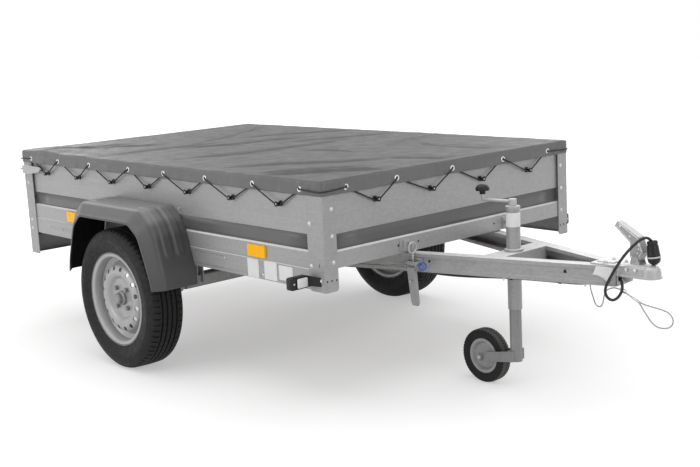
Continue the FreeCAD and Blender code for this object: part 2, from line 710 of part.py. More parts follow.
SIDE_LEGS = [(False, True), (False, True), (False, True), (False, False), (True, False), (True, False),
             (True, False)]
END_LEGS = [(False, True), (False, True), (False, False), (True, False)]
side_lace = through(lace(SIDE_EYES, SIDE_HOOKS, SIDE_LEGS), True, True)
front_lace = through(lace(FRONT_EYES, FRONT_HOOKS, END_LEGS), True, True)

cord_join = REAR_X + 27.0
right_side = [(a, -(HALF_W + d), z, c) for a, d, z, c in side_lace]
left_side = [(a, HALF_W + d, z, c) for a, d, z, c in side_lace[::-1]]
cord_y = HALF_W + CORD_OUT
cord_x = FRONT_X + CORD_OUT
route = [(cord_join + 0.6, -cord_y, EYE_Z - 2.0)] + right_side + [(cord_x, -cord_y, EYE_Z - 4.0, corner_r)]
route += [(FRONT_X + d, a, z, c) for a, d, z, c in front_lace]
route += [(cord_x, cord_y, EYE_Z - 4.0, corner_r)] + left_side + [(cord_join + 0.6, cord_y, EYE_Z - 2.0)]
add("tarp_cord", tube_path(route, CORD_R, None))

rear_depth = {CORD_OUT: CORD_OUT, CORD_IN: CORD_IN + 0.9, CORD_HOOK: CORD_HOOK - 0.5}
rear_x = REAR_X - CORD_OUT
rear_route = [(cord_join, -cord_y, EYE_Z - 2.0), (rear_x, -cord_y, EYE_Z - 3.0, 4.2)]
rear_route += [(REAR_X - rear_depth[d], a, z, c) for a, d, z, c in front_lace]
rear_route += [(rear_x, cord_y, EYE_Z - 3.0, 4.2), (cord_join, cord_y, EYE_Z - 2.0)]
add("rear_cord", tube_path(rear_route, CORD_R, None))

# Drawbar beams: lipped channels with a stepped web

slant = math.sqrt(1 + BEAM_SLOPE ** 2)


def beam_out(x):
    """Distance of the beam's outer face from the middle."""
    return BEAM_A - BEAM_SLOPE * x


def beam():
    """Right drawbar beam, mitred where the two meet."""
    line = [(BEAM_W, BEAM_LOW + 12), (BEAM_W, BEAM_LOW), (0, BEAM_LOW), (0, BEAM_LOW + 12), (2, BEAM_LOW + 15),
            (2, BEAM_TOP - 15), (0, BEAM_TOP - 12), (0, BEAM_TOP), (BEAM_W, BEAM_TOP), (BEAM_W, BEAM_TOP - 12)]
    loop = sheet(line, BEAM_T)
    x = BEAM_REAR
    pts = [V(x, -beam_out(x) + n * slant, z) for n, z in loop]
    face = Part.Face(Part.makePolygon(pts + [pts[0]]))
    run = BEAM_FRONT - BEAM_REAR
    s = face.extrude(V(run, run * BEAM_SLOPE, 0))
    s = s.cut(box(1500, 1900, -0.5, 60, 300, 600))
    for hx in (1134.0, 1600.0):
        hy = -beam_out(hx)
        s = s.cut(rod((hx, hy - 6, 458), (hx, hy + 14, 458), 5.0))
    return s


add("drawbar_beams", both(beam()))

cross_in = BEAM_A - BEAM_W * slant - SEAT
cr, cf = CROSS_REAR, CROSS_FRONT
plan = [(cr, -(cross_in - BEAM_SLOPE * cr)), (cf, -(cross_in - BEAM_SLOPE * cf)),
        (cf, cross_in - BEAM_SLOPE * cf), (cr, cross_in - BEAM_SLOPE * cr)]
cross = prism(plan, "z", CROSS_LOW, BEAM_TOP)
cross = cross.cut(box(cr + 4, cf - 4, -200, 200, CROSS_LOW - 1, BEAM_TOP - 4))
cross = cross.cut(rod((JOCKEY_X, JOCKEY_Y, CROSS_LOW - 5), (JOCKEY_X, JOCKEY_Y, BEAM_TOP + 5), JOCKEY_R + SEAT))
add("cross_member", cross)

# Pivot bosses at the beams' rear ends

boss_plate = box(BEAM_REAR - 6.0, BEAM_REAR - SEAT, 4.0 - BOSS_OUT, -BOSS_IN - 5.0, 424.0, 474.0)
boss = rod((PIVOT_X, -BOSS_OUT, PIVOT_Z), (PIVOT_X, -BOSS_IN, PIVOT_Z), PIVOT_BOSS_R)
boss = fuse([boss, boss_plate, box(PIVOT_X + 8, BEAM_REAR - 3, 4.0 - BOSS_OUT, -BOSS_IN - 5.0, PIVOT_Z - 17, PIVOT_Z + 17)])
boss = boss.cut(rod((PIVOT_X, -BOSS_OUT - 5, PIVOT_Z), (PIVOT_X, -BOSS_IN + 5, PIVOT_Z), PIVOT_PIN_R + RUN_GAP))
add("pivot_bosses", both(boss))

# Axle tube, brackets, swing arms and stub shafts

h = AXLE_SIZE / 2
outer = box(AXLE_X - h, AXLE_X + h, -AXLE_HALF, AXLE_HALF, AXLE_Z - h, AXLE_Z + h)
outer = round_edges(outer, 9.0, lambda m, d: abs(d.y) > 100)
hi = h - AXLE_WALL
inner = box(AXLE_X - hi, AXLE_X + hi, -AXLE_HALF - 1, AXLE_HALF + 1, AXLE_Z - hi, AXLE_Z + hi)
axle = [outer]
bracket_y = beam_out(AXLE_X) - 10.5
for s in (-1, 1):
    for y in (bracket_y - 26.0, bracket_y):
        y0 = s * y
        side = prism([(AXLE_X - 38, BEAM_LOW - SEAT), (AXLE_X + 38, BEAM_LOW - SEAT), (AXLE_X + 34, AXLE_Z - 8),
                      (AXLE_X - 34, AXLE_Z - 8)], "y", y0, y0 + s * 5.0)
        axle.append(side)
    axle.append(box(AXLE_X - 38, AXLE_X + 38, s * (bracket_y - 30.0), s * (bracket_y + 9.0),
                    BEAM_LOW - SEAT - 4.0, BEAM_LOW - SEAT))
axle_beam = fuse(axle).cut(inner)
add("axle_beam", axle_beam)


def swing_arm():
    """Right swing arm with its shaft, stub and boss."""
    y0, y1 = -(ARM_IN + ARM_T), -ARM_IN
    dx, dz = AXLE_X, AXLE_Z - WHEEL_R
    ln = math.hypot(dx, dz)
    nx, nz = -dz / ln, dx / ln
    ra, rb = 33.0, 27.0
    web = prism([(AXLE_X + nx * ra, AXLE_Z + nz * ra), (nx * rb, WHEEL_R + nz * rb),
                 (-nx * rb, WHEEL_R - nz * rb), (AXLE_X - nx * ra, AXLE_Z - nz * ra)], "y", y0 + 2, y1 - 2)
    a = rod((AXLE_X, y0, AXLE_Z), (AXLE_X, y1, AXLE_Z), ra)
    b = rod((0, y0, WHEEL_R), (0, y1, WHEEL_R), rb)
    shaft = box(AXLE_X - 15, AXLE_X + 15, -ARM_IN - 1, -ARM_IN + 60, AXLE_Z - 15, AXLE_Z + 15)
    collar = rod((AXLE_X, -ARM_IN, AXLE_Z), (AXLE_X, -AXLE_HALF - SEAT, AXLE_Z), 26.0)
    stub = rod((0, y0, WHEEL_R), (0, -(WHEEL_Y + 44), WHEEL_R), STUB_R)
    shoulder = rod((0, y0, WHEEL_R), (0, y0 - 9.0, WHEEL_R), 20.0)
    return fuse([web, a, b, shaft, collar, stub, shoulder])


add("swing_arms", both(swing_arm()))

# Wheels: hollow tyre, pressed rim with vents, hub with cap and bolts

TYRE_OUT = [(166.5, -46), (166.5, -54.2), (168.6, -57), (184, -60.4), (205, -70), (226, -TYRE_HALF), (248, -71), (264, -61),
            (WHEEL_R - 1.2, -50), (WHEEL_R, -20), (WHEEL_R, 20), (WHEEL_R - 1.2, 50), (264, 61), (248, 71),
            (226, TYRE_HALF), (205, 70), (184, 60.4), (168.6, 57), (166.5, 54.2),
            (166.5, 46)]
TYRE_IN = [(190, 50), (226, 68), (255, 55), (260, 0), (255, -55), (226, -68), (190, -50)]
RIM_LINE = [(RIM_R - 2, -64), (RIM_R, -61), (168, -57.3), (165.9, -54), (165.9, -40), (148, -34), (148, 12),
            (165.9, 22), (165.9, 54), (168, 57.3), (RIM_R, 61), (RIM_R - 2, 64)]
DISC = [(147, 4), (146, 12), (138, 24), (127, 44), (113, 50), (98, 50), (86, 46), (76, RIM_OFFSET + 4),
        (HUB_BORE, RIM_OFFSET + 4), (HUB_BORE, RIM_OFFSET), (77, RIM_OFFSET), (88, 42), (99, 46), (112, 46),
        (124, 41), (134, 21), (142, 4)]


def wheel(side):
    """Tyre, rim and hub for one side; side is -1 right, +1 left."""
    c = (0.0, side * WHEEL_Y, WHEEL_R)
    name = "left" if side > 0 else "right"
    tyre = revolve(TYRE_OUT + TYRE_IN, c, side)
    add(name + "_tyre", tyre)
    barrel = revolve(sheet(RIM_LINE, -3.4), c, side)
    disc = revolve(DISC, c, side)
    rim = fuse([barrel, disc])
    cuts = []
    for k in range(VENT_COUNT):
        a = 2 * math.pi * (k + 0.5) / VENT_COUNT
        x, z = 118 * math.cos(a), WHEEL_R + 118 * math.sin(a)
        cuts.append(rod((x, c[1] + side * 30, z), (x, c[1] + side * 60, z), 9.0))
    bolts = []
    for k in range(4):
        a = math.pi / 4 + k * math.pi / 2
        r = BOLT_CIRCLE / 2
        x, z = r * math.cos(a), WHEEL_R + r * math.sin(a)
        f = c[1] + side * RIM_OFFSET
        cuts.append(rod((x, f - side * 2, z), (x, f + side * 8, z), 7.0))
        bolts.append(rod((x, f - side * 4, z), (x, f + side * 4.3, z), 6.5))
        bolts.append(rod((x, f + side * 4.3, z), (x, f + side * 16, z), 9.0))
    rim = rim.cut(Part.makeCompound(cuts))
    add(name + "_rim", rim)
    w = RIM_OFFSET - SEAT
    hub = [(STUB_R + RUN_GAP, w - 120), (HUB_R - 6, w - 120), (HUB_R, w - 112), (HUB_R, w - 40), (HUB_R + 4, w - 12),
           (62, w - 9), (62, w), (27, w), (27, w + 12), (22, w + 16), (21, w + 30), (17, w + 35), (0, w + 35),
           (0, w + 20), (STUB_R + RUN_GAP, w + 20)]
    shape = revolve(hub, c, side)
    add(name + "_hub", fuse([shape] + bolts))


wheel(-1)
wheel(1)

# Jockey wheel: outer tube, screw nut, inner leg, caster and crank

jx, jy = JOCKEY_X, JOCKEY_Y
outer_tube = revolve_z([(JOCKEY_BORE, JOCKEY_LOW), (JOCKEY_R, JOCKEY_LOW), (JOCKEY_R, BEAM_TOP + SEAT),
                        (JOCKEY_R + 9, BEAM_TOP + SEAT), (JOCKEY_R + 9, BEAM_TOP + 7), (JOCKEY_R, BEAM_TOP + 10),
                        (JOCKEY_R, JOCKEY_TOP - 14), (JOCKEY_R + 1, JOCKEY_TOP - 12), (JOCKEY_R + 1, JOCKEY_TOP),
                        (7.5, JOCKEY_TOP), (7.5, JOCKEY_TOP - 3), (JOCKEY_BORE, JOCKEY_TOP - 3)], jx, jy)
add("jockey_outer_tube", outer_tube)
nut = revolve_z([(7.4, 430), (16.6, 430), (16.6, 455), (7.4, 455)], jx, jy)
add("jockey_nut", nut)


def crank():
    """Screw, nut head, bent arm and grip stem."""
    a = math.radians(CRANK_TURN)
    ux, uy = math.cos(a), math.sin(a)
    end = (jx + ux * CRANK_ARM, jy + uy * CRANK_ARM)
    level = JOCKEY_TOP + 15.0
    screw = rod((jx, jy, 350), (jx, jy, JOCKEY_TOP + 20), 7.0)
    head = rod((jx, jy, JOCKEY_TOP + SEAT), (jx, jy, JOCKEY_TOP + 24), 13.5)
    arm = rod((jx, jy, level), (end[0], end[1], level), 5.4)
    bend = Part.makeSphere(5.4, V(end[0], end[1], level))
    stem = rod((end[0], end[1], level), (end[0], end[1], JOCKEY_TOP + 34), 5.4)
    return fuse([screw, head, arm, bend, stem]), end


crank_shape, knob_at = crank()
add("jockey_crank", crank_shape)
kz = JOCKEY_TOP + 34 + SEAT
knob = revolve_z([(0, kz), (10.3, kz), (10.3, kz + 12), (23.5, kz + 12.5), (24.5, kz + 16), (22.5, kz + 24),
                  (16, kz + 31), (8, kz + 34), (0, kz + 35)], knob_at[0], knob_at[1])
add("crank_knob", knob)

cx = JOCKEY_X - CASTER_TRAIL
cz = CASTER_R
leg = [revolve_z([(LEG_BORE, LEG_LOW), (LEG_R, LEG_LOW), (LEG_R, LEG_TOP), (LEG_BORE, LEG_TOP)], jx, jy)]
fork_in = CASTER_HALF + 5.5
for s in (-1, 1):
    y0 = jy + s * fork_in
    y1 = y0 + s * 5.0
    leg.append(prism([(jx + 8, 101), (jx + 8, 139), (cx, cz + 16), (cx, cz - 16)], "y", y0, y1))
    leg.append(rod((cx, y0, cz), (cx, y1, cz), 16.0))
block = box(jx - 16, jx + 8, jy - fork_in - 1, jy + fork_in + 1, 103, 137)
block = block.cut(rod((jx, jy, 90), (jx, jy, 150), LEG_R - 1.0))
leg.append(block)
leg.append(rod((cx, jy - fork_in - 8, cz), (cx, jy + fork_in + 12, cz), 6.0))
leg.append(rod((cx, jy - fork_in - 14, cz), (cx, jy - fork_in - 4, cz), 10.0))
leg.append(rod((cx, jy + fork_in + 4, cz), (cx, jy + fork_in + 12, cz), 10.0))
add("jockey_leg", fuse(leg))
caster_tyre = revolve([(62.3, -18), (CASTER_R - 5, -CASTER_HALF), (CASTER_R, -15), (CASTER_R, 15),
                       (CASTER_R - 5, CASTER_HALF), (62.3, 18)], (cx, jy, cz), 1)
add("jockey_tyre", caster_tyre)
caster_rim = revolve([(6.1, -26), (13, -26), (15, -8), (44, -5), (52, -18), (62, -18), (62, 18), (52, 18),
                      (44, 0), (15, 3), (13, 26), (6.1, 26)], (cx, jy, cz), 1)
add("jockey_rim", caster_rim)

# Coupling head, its handle and front latches


def neck_section(x, half, top):
    """Arched section of the pressed neck, as a closed wire."""
    pts = [(-half, RIM_LOW), (-half, top - 10), (-half + 3, top - 3), (-half + 10, top), (half - 10, top),
           (half - 3, top - 3), (half, top - 10), (half, RIM_LOW)]
    wire = [V(x, a, b) for a, b in pts]
    return Part.makePolygon(wire + [wire[0]])


def neck(inset):
    """Lofted neck between the beams' ends and the nose; inset gives its hollow."""
    x0 = BEAM_FRONT + 3.0 + (6.0 if inset else 0.0)
    stations = [(x0, 32.0, BEAM_TOP + 5.0), (1800.0, 31.0, NECK_TOP), (1838.0, 30.0, NECK_TOP - 0.5),
                (BALL_X - (25.0 if inset else 4.0), 29.0, NECK_TOP)]
    wires = [neck_section(x, half - inset, top - inset) for x, half, top in stations]
    return Part.makeLoft(wires, True, True)


def coupling():
    """Pressed coupling: saddle on the beams, hollow neck with a rolled rim, and a round nose."""
    top = prism([(1668, -42), (1745, -40), (1790, -30), (1790, 30), (1745, 40), (1668, 42)], "z",
                BEAM_TOP + SEAT, BEAM_TOP + 5.0)
    pad = prism([(1680, -22), (1740, -20), (1740, 20), (1680, 22)], "z", BEAM_TOP + 4.0, BEAM_TOP + 9.0)
    pad = round_edges(pad, 3.0, lambda m, d: m.z > BEAM_TOP + 8.9)
    web = box(BEAM_FRONT + 3.0, BEAM_FRONT + 8.0, -32, 32, BEAM_LOW + 6.0, BEAM_TOP + 5.0)
    rim = prism([(BEAM_FRONT + 3.0, -37), (1830, -37), (BALL_X, BALL_X - NOSE_X), (BALL_X, NOSE_X - BALL_X),
                 (1830, 37), (BEAM_FRONT + 3.0, 37)], "z", RIM_LOW, RIM_TOP)
    brim = rod((BALL_X, 0, RIM_LOW), (BALL_X, 0, RIM_TOP), NOSE_X - BALL_X)
    dome = revolve_z([(0, RIM_LOW), (31.5, RIM_LOW), (31.5, BALL_Z + 6), (29, BALL_Z + 16), (23, BALL_Z + 24),
                      (14, DOME_TOP - 1), (0, DOME_TOP)], BALL_X, 0)
    lug = box(1772, 1796, -14, 2, 436, RIM_TOP + 2)
    lug = round_edges(lug, 5.0, lambda m, d: abs(d.y) > 10 and m.z < 437)
    s = rim
    for piece in (brim, web, neck(0.0), dome, top, pad):
        s = s.fuse(piece)
    ball = Part.makeSphere(BALL_R, V(BALL_X, 0, BALL_Z))
    mouth = rod((BALL_X, 0, RIM_LOW - 5), (BALL_X, 0, BALL_Z), BALL_R)
    hollow = neck(3.5)
    under = box(1774, BALL_X, -25.5, 25.5, RIM_LOW - 1, RIM_TOP + 3)
    wire_hole = rod((BEAM_FRONT, -20, 445), (BEAM_FRONT + 12, -20, 445), 10.0)
    for piece in (ball.fuse(mouth), hollow, under, wire_hole):
        s = s.cut(piece)
    extra = [box(1774, 1798, -16, 4, RIM_TOP - 2, NECK_TOP - 3), lug]
    for k in (-1, 1):
        extra.append(prism([(1798, NECK_TOP - 2.0), (1834, NECK_TOP - 2.0), (1826, 518), (1806, 518)], "y",
                           k * 15.3, k * 19.0))
        for bx in (1795.0, 1827.0):
            extra.append(rod((bx, k * 29.0, 479.5), (bx, k * 35.5, 479.5), 5.0))
    extra.append(rod((HANDLE_X, -23, HANDLE_Z), (HANDLE_X, 23, HANDLE_Z), 4.0))
    for piece in extra:
        s = s.fuse(piece)
    return s.removeSplitter()


add("coupling_head", coupling())

handle_out = [(1809, 498.5), (1823, 498.5), (1832, 509), (1845, 534), (1829, 580), (1752, 624), (1742, 608),
              (1798, 560), (1796, 520)]
handle = prism(handle_out, "y", -14.5, 14.5)
handle_in = [(1790, 480), (1822, 488), (1826, 510), (1841, 534), (1826, 577), (1753, 620), (1730, 600),
             (1795, 555), (1790, 520)]
handle = handle.cut(prism(handle_in, "y", -11.5, 11.5))
handle = handle.cut(rod((HANDLE_X, -30, HANDLE_Z), (HANDLE_X, 30, HANDLE_Z), 4.0 + RUN_GAP))
add("coupling_handle", handle)


yb = -beam_out(LATCH_X)
ly = yb - 16.5
side_gap = SEAT * slant
lean = 26 * BEAM_SLOPE
wedge = prism([(LATCH_X - 26, yb - 9.8), (LATCH_X + 26, yb - 9.8), (LATCH_X + 26, yb + lean - side_gap),
               (LATCH_X - 26, yb - lean - side_gap)], "z", 436, 468)
strap = box(LATCH_X - 27, LATCH_X + 27, ly - 13.0, yb - 9.0, 448, 460)
strap = round_edges(strap, 7.0, lambda m, d: abs(d.z) > 10 and m.y < ly - 10)
strap = strap.cut(box(LATCH_X - 22, LATCH_X + 22, ly - 9.0, yb - 11.2, 440, 480))
cheeks = []
for k in (-1, 1):
    cheeks.append(prism([(ly - 10.0, 430), (ly + 4.0, 430), (yb - 9.0, 436), (yb - 9.0, 452), (ly - 13.0, 452),
                         (ly - 13.0, 446)], "x", LATCH_X + k * 22, LATCH_X + k * 27))
seat_roll = rod((LATCH_X - 23, ly, 434), (LATCH_X + 23, ly, 434), 6.5)
lock_pin = rod((LATCH_X - 78, ly - 7.4 - 78 * BEAM_SLOPE, 442), (LATCH_X + 42, ly - 7.4 + 42 * BEAM_SLOPE, 446),
               2.6)
arm_line = [(LATCH_X - 19, 440), (LATCH_X + 19, 440), (LATCH_X + 28, LATCH_LOW + 12), (LATCH_X + 24, LATCH_LOW),
            (LATCH_X + 2, LATCH_LOW), (LATCH_X - 4, LATCH_LOW + 12)]
arm = prism(arm_line, "y", ly - 12.0, ly - 2.0)
arm_in = [(LATCH_X - 15, 428), (LATCH_X + 15, 428), (LATCH_X + 24, LATCH_LOW + 12), (LATCH_X + 21, LATCH_LOW + 5),
          (LATCH_X + 4, LATCH_LOW + 5), (LATCH_X, LATCH_LOW + 12)]
arm = arm.cut(prism(arm_in, "y", ly - 9.5, ly - 1.0))
add("front_latches", both(fuse([wedge, strap] + cheeks + [seat_roll, lock_pin, arm])))
panel_x = FRONT_X - INSET_MID
plate = box(panel_x + SEAT, panel_x + 3.5, ly - 36, ly + 10, 494, 537)
plate = round_edges(plate, 8.0, lambda m, d: abs(d.x) > 2)
catch = box(panel_x + 3, LATCH_X + 2, ly - 5, ly + 5, 514, 525)
keeper = prism([(ly - 30, 500), (ly - 12, 496), (ly - 8, 530), (ly - 26, 534)], "x", panel_x + 3, panel_x + 15)
eye = Part.makeTorus(18.0, 3.6, V(LATCH_X, ly, 506.5), V(1, 0, 0))
stem = rod((LATCH_X, ly, 488.5), (LATCH_X, ly, 441 + SEAT), 4.2)
add("latch_eyes", both(fuse([plate, catch, keeper, eye, stem])))

# Connector plug, its lead and the steel safety cable

plug_x, plug_z = 1876.0, DOME_TOP + SEAT + 0.9
PLUG_TILT = -7.0
plug = revolve_z([(0, plug_z), (9, plug_z), (9, plug_z + 3), (15, plug_z + 4), (19.5, plug_z + 11),
                  (20.5, plug_z + 18), (21.5, plug_z + 20), (21.5, plug_z + 26), (20.5, plug_z + 28),
                  (17, plug_z + 60), (16.5, plug_z + 62), (16.5, plug_z + 71), (14.5, plug_z + 74),
                  (10.5, plug_z + 74), (9.5, plug_z + 66), (0, plug_z + 66)], plug_x, 0)
plug.rotate(V(plug_x, 0, plug_z), V(0, 1, 0), PLUG_TILT)
add("plug", plug)
tilt = math.radians(PLUG_TILT)
plug_end = (plug_x + math.sin(tilt) * 69.0, 0, plug_z + math.cos(tilt) * 69.0)
lead_route = []
for k in range(LEAD_CLIPS):
    x = LEAD_START + k * LEAD_STEP
    sag = (6.0 if 1120 < x < 1300 else 0.0) + 1.4 * (k % 2)
    lead_route.append((x, -(beam_out(x) - 35.0) + 2.0 * (k % 2), BEAM_LOW - SEAT - LEAD_R - sag))
lead_route += LEAD_FRONT
lead_route.append(plug_end)
add("lead", tube_path(lead_route, LEAD_R, None))
cable_route = [(1600, 46, BEAM_LOW - SEAT - 0.9), (1613, 30, 386), (1628, 26, 356), (1650, 8, 338), (1673, 0, 335),
               (1688, -6, 348), (1698, -14, 374), (1712, -24, 398), (1734, -30, 412), (1762, -34, 418),
               (1791, -34, 407), (1820, -34, 394), (1842, -34, 384), (1863, -34, 378), (1895, -34, 375),
               (1930, -34, 371), (1951, -34, 364), (1964, -34, 345), (1956, -34, 324), (1933, -34, 314),
               (1899, -34, 315), (1870, -34, 344), (1848, -34, 374)]
add("safety_cable", tube_path(cable_route, CABLE_R, None))

low_x, high_x = 1e9, -1e9
for name, shape in NODES.items():
    moved = shape.copy()
    moved.translate(V(-MID_X, 0, 0))
    bb = moved.BoundBox
    if name not in ("plug", "lead", "safety_cable", "tarp_cord", "rear_cord"):
        low_x, high_x = min(low_x, bb.XMin), max(high_x, bb.XMax)
    if not moved.isValid():
        print("not valid:", name)
    print(name, "solids", len(moved.Solids), "volume", round(moved.Volume / 1000.0, 1), "cm3")
    moved.exportStep("parts/" + name + ".step")
print("nodes", len(NODES), "x range", round(low_x, 2), round(high_x, 2), "middle", MID_X)
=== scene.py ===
"""Looks for a small single-axle tipping utility trailer with a tied tarpaulin.

Every length written in millimetres is measured from the wheel axis, the middle plane and the ground;
``at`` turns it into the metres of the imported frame.
"""

import logging
import math
from dataclasses import dataclass, field
from enum import Enum
from typing import Callable, Iterable, Optional, Sequence

import bmesh
import bpy
from mathutils import Matrix, Vector, noise


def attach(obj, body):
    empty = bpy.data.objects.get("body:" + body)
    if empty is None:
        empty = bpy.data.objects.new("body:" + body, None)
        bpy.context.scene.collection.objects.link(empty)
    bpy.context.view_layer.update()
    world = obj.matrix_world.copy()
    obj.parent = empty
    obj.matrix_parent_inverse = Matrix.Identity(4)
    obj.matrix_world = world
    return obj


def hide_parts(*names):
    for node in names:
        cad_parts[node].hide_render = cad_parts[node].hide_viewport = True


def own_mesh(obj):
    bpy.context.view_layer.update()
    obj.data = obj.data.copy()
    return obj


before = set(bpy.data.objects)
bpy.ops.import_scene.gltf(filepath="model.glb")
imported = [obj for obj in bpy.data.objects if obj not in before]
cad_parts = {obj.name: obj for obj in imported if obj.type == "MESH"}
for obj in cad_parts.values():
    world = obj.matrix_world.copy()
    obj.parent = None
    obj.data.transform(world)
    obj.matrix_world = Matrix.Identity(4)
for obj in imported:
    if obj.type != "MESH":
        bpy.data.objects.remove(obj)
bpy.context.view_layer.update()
log = logging.getLogger("trailer")

MID_X = 453.5
REAR_X = -961.0
FRONT_X = 1069.0
HALF_W = 627.0
WHEEL_R = 272.0
WHEEL_Y = 711.0
JOCKEY_X = 1336.0
JOCKEY_Y = -16.0
BEAM_A = HALF_W - 64.4
BEAM_FRONT = 1757.0
BEAM_TIP = 33.7
BEAM_SLOPE = (BEAM_A - BEAM_TIP) / BEAM_FRONT
BEAM_LOW = 420.0
EYE_Z = 749.0
HOOK_Z = 692.0
TAIL_X = -963.0
TAIL_TOP = 777.4
RIGHT_LEFT = (-1, 1)
Point = tuple[float, float, float]
Flat = tuple[float, float]
Colour = tuple[float, float, float]
Socket = bpy.types.NodeSocket
Object = bpy.types.Object


def at(x: float, y: float, z: float) -> Vector:
    """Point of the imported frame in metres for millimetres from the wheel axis."""
    return Vector(((x - MID_X) / 1000.0, y / 1000.0, z / 1000.0))


def beam_face(x: float) -> float:
    """Distance of a drawbar beam's outer face from the middle, in millimetres."""
    return BEAM_A - BEAM_SLOPE * x


def grey(value: float) -> Colour:
    """Linear grey for a screen value from 0 to 255."""
    return linear((value, value, value))


def linear(rgb: Sequence[float]) -> Colour:
    """Linear colour for a screen colour from 0 to 255."""
    low, high = 12.92, 1.055
    shares = (v / 255.0 for v in rgb)
    return tuple(c / low if c <= 0.04045 else ((c + high - 1.0) / high) ** 2.4 for c in shares)


def angles(count: int) -> list[float]:
    """Even angles round a full turn."""
    return [2 * math.pi * k / count for k in range(count)]


def soft_corner(a: Flat, b: Flat, c: Flat, steps: int) -> list[Flat]:
    """Points of a bend from a to c that b pulls out, without a itself."""
    out = []
    for t in (m / steps for m in range(1, steps + 1)):
        u = 1.0 - t
        out.append(tuple(u * u * a[i] + 2 * u * t * b[i] + t * t * c[i] for i in (0, 1)))
    return out


def round_loop(x0: float, x1: float, z0: float, z1: float, radius: float) -> list[Flat]:
    """Rectangle with round corners, five points to each."""
    out = []
    for x, z, start in ((x1 - radius, z1 - radius, 0), (x0 + radius, z1 - radius, 90),
                        (x0 + radius, z0 + radius, 180), (x1 - radius, z0 + radius, 270)):
        for a in (math.radians(start + 22.5 * k) for k in range(5)):
            out.append((x + radius * math.cos(a), z + radius * math.sin(a)))
    return out


class Body(Enum):
    """Bodies that the added pieces ride on."""

    CHASSIS = "chassis"
    BOX = "box"
    TAILGATE = "tailgate"
    RIGHT_WHEEL = "right_wheel"
    LEFT_WHEEL = "left_wheel"
    LEVER = "coupling_lever"
    LEG = "jockey_leg"
    JOCKEY = "jockey_wheel"


class Graph:
    """Small helper that wires the nodes of one material or world."""

    def __init__(self, owner: bpy.types.ID, output: str = "OutputMaterial") -> None:
        """Starts an empty node tree with its output."""
        owner.use_nodes = True
        self.tree = owner.node_tree
        self.tree.nodes.clear()
        self.out = self.add(output)
        where = self.add("TexCoord")
        self.place = where.outputs["Object"]
        self.facing = where.outputs["Normal"]

    def add(self, kind: str, settings: Optional[dict] = None, **inputs: object) -> bpy.types.Node:
        """Adds a node.

        Args:
            kind: Node type without its ``ShaderNode`` prefix.
            settings: Attributes set on the node.
            inputs: Values or sockets by input name, with underscores for spaces.

        Returns:
            The new node.
        """
        node = self.tree.nodes.new("ShaderNode" + kind)
        for key, value in (settings or {}).items():
            setattr(node, key, value)
        for key, value in inputs.items():
            name = key.replace("_", " ")
            socket = node.inputs[int(name[1:]) if name[0] == "i" and name[1:].isdigit() else name]
            if isinstance(value, bpy.types.NodeSocket):
                self.tree.links.new(value, socket)
            else:
                socket.default_value = value
        return node

    def math(self, operation: str, a: object, b: object = 0.0) -> Socket:
        """Output of a math node on two values or sockets."""
        return self.add("Math", {"operation": operation}, i0=a, i1=b).outputs[0]

    def ramp(self, value: Socket, low: float, high: float, start: float, end: float) -> Socket:
        """Value mapped from low..high to start..end, held at the ends."""
        node = self.add("MapRange", Value=value, From_Min=low, From_Max=high, To_Min=start, To_Max=end)
        return node.outputs[0]

    def around(self, value: Socket, middle: float, reach: float) -> Socket:
        """Noise, most of which lies from 0.3 to 0.7, mapped to both sides of a middle."""
        return self.ramp(value, 0.3, 0.7, middle - reach, middle + reach)

    def noise(self, scale: float, detail: float = 3.0, stretch: Optional[Point] = None,
              rough: float = 0.5) -> Socket:
        """Noise in object metres, stretched along the axes if asked."""
        where = self.add("Mapping", Vector=self.place, Scale=stretch).outputs[0] if stretch else self.place
        return self.add("TexNoise", Vector=where, Scale=scale, Detail=detail, Roughness=rough).outputs["Fac"]

    def cells(self, scale: float, output: str) -> Socket:
        """One output of small irregular cells."""
        return self.add("TexVoronoi", Vector=self.place, Scale=scale).outputs[output]

    def axis(self, index: int) -> Socket:
        """One coordinate of the object position."""
        return self.add("SeparateXYZ", Vector=self.place).outputs[index]

    def lean(self, index: int) -> Socket:
        """One component of the direction that the surface faces."""
        return self.add("SeparateXYZ", Vector=self.facing).outputs[index]

    def scaled(self, colour: object, level: Socket) -> Socket:
        """Colour times a level."""
        return self.add("VectorMath", {"operation": "SCALE"}, i0=colour, Scale=level).outputs[0]

    def mix(self, amount: Socket, none: Colour, full: Colour) -> Socket:
        """Blend from one colour to another."""
        return self.add("Mix", {"data_type": "RGBA"}, i0=amount, i6=(*none, 1.0), i7=(*full, 1.0)).outputs[2]

    def waves(self, pitch: float, lengths: Iterable[Socket]) -> Socket:
        """Sum of sine waves of a pitch in millimetres along some lengths in metres."""
        total = None
        for length in lengths:
            wave = self.math("SINE", self.math("MULTIPLY", length, 2.0 * math.pi / (pitch / 1000.0)))
            total = wave if total is None else self.math("ADD", total, wave)
        return total


MADE: dict[str, bpy.types.Material] = {}


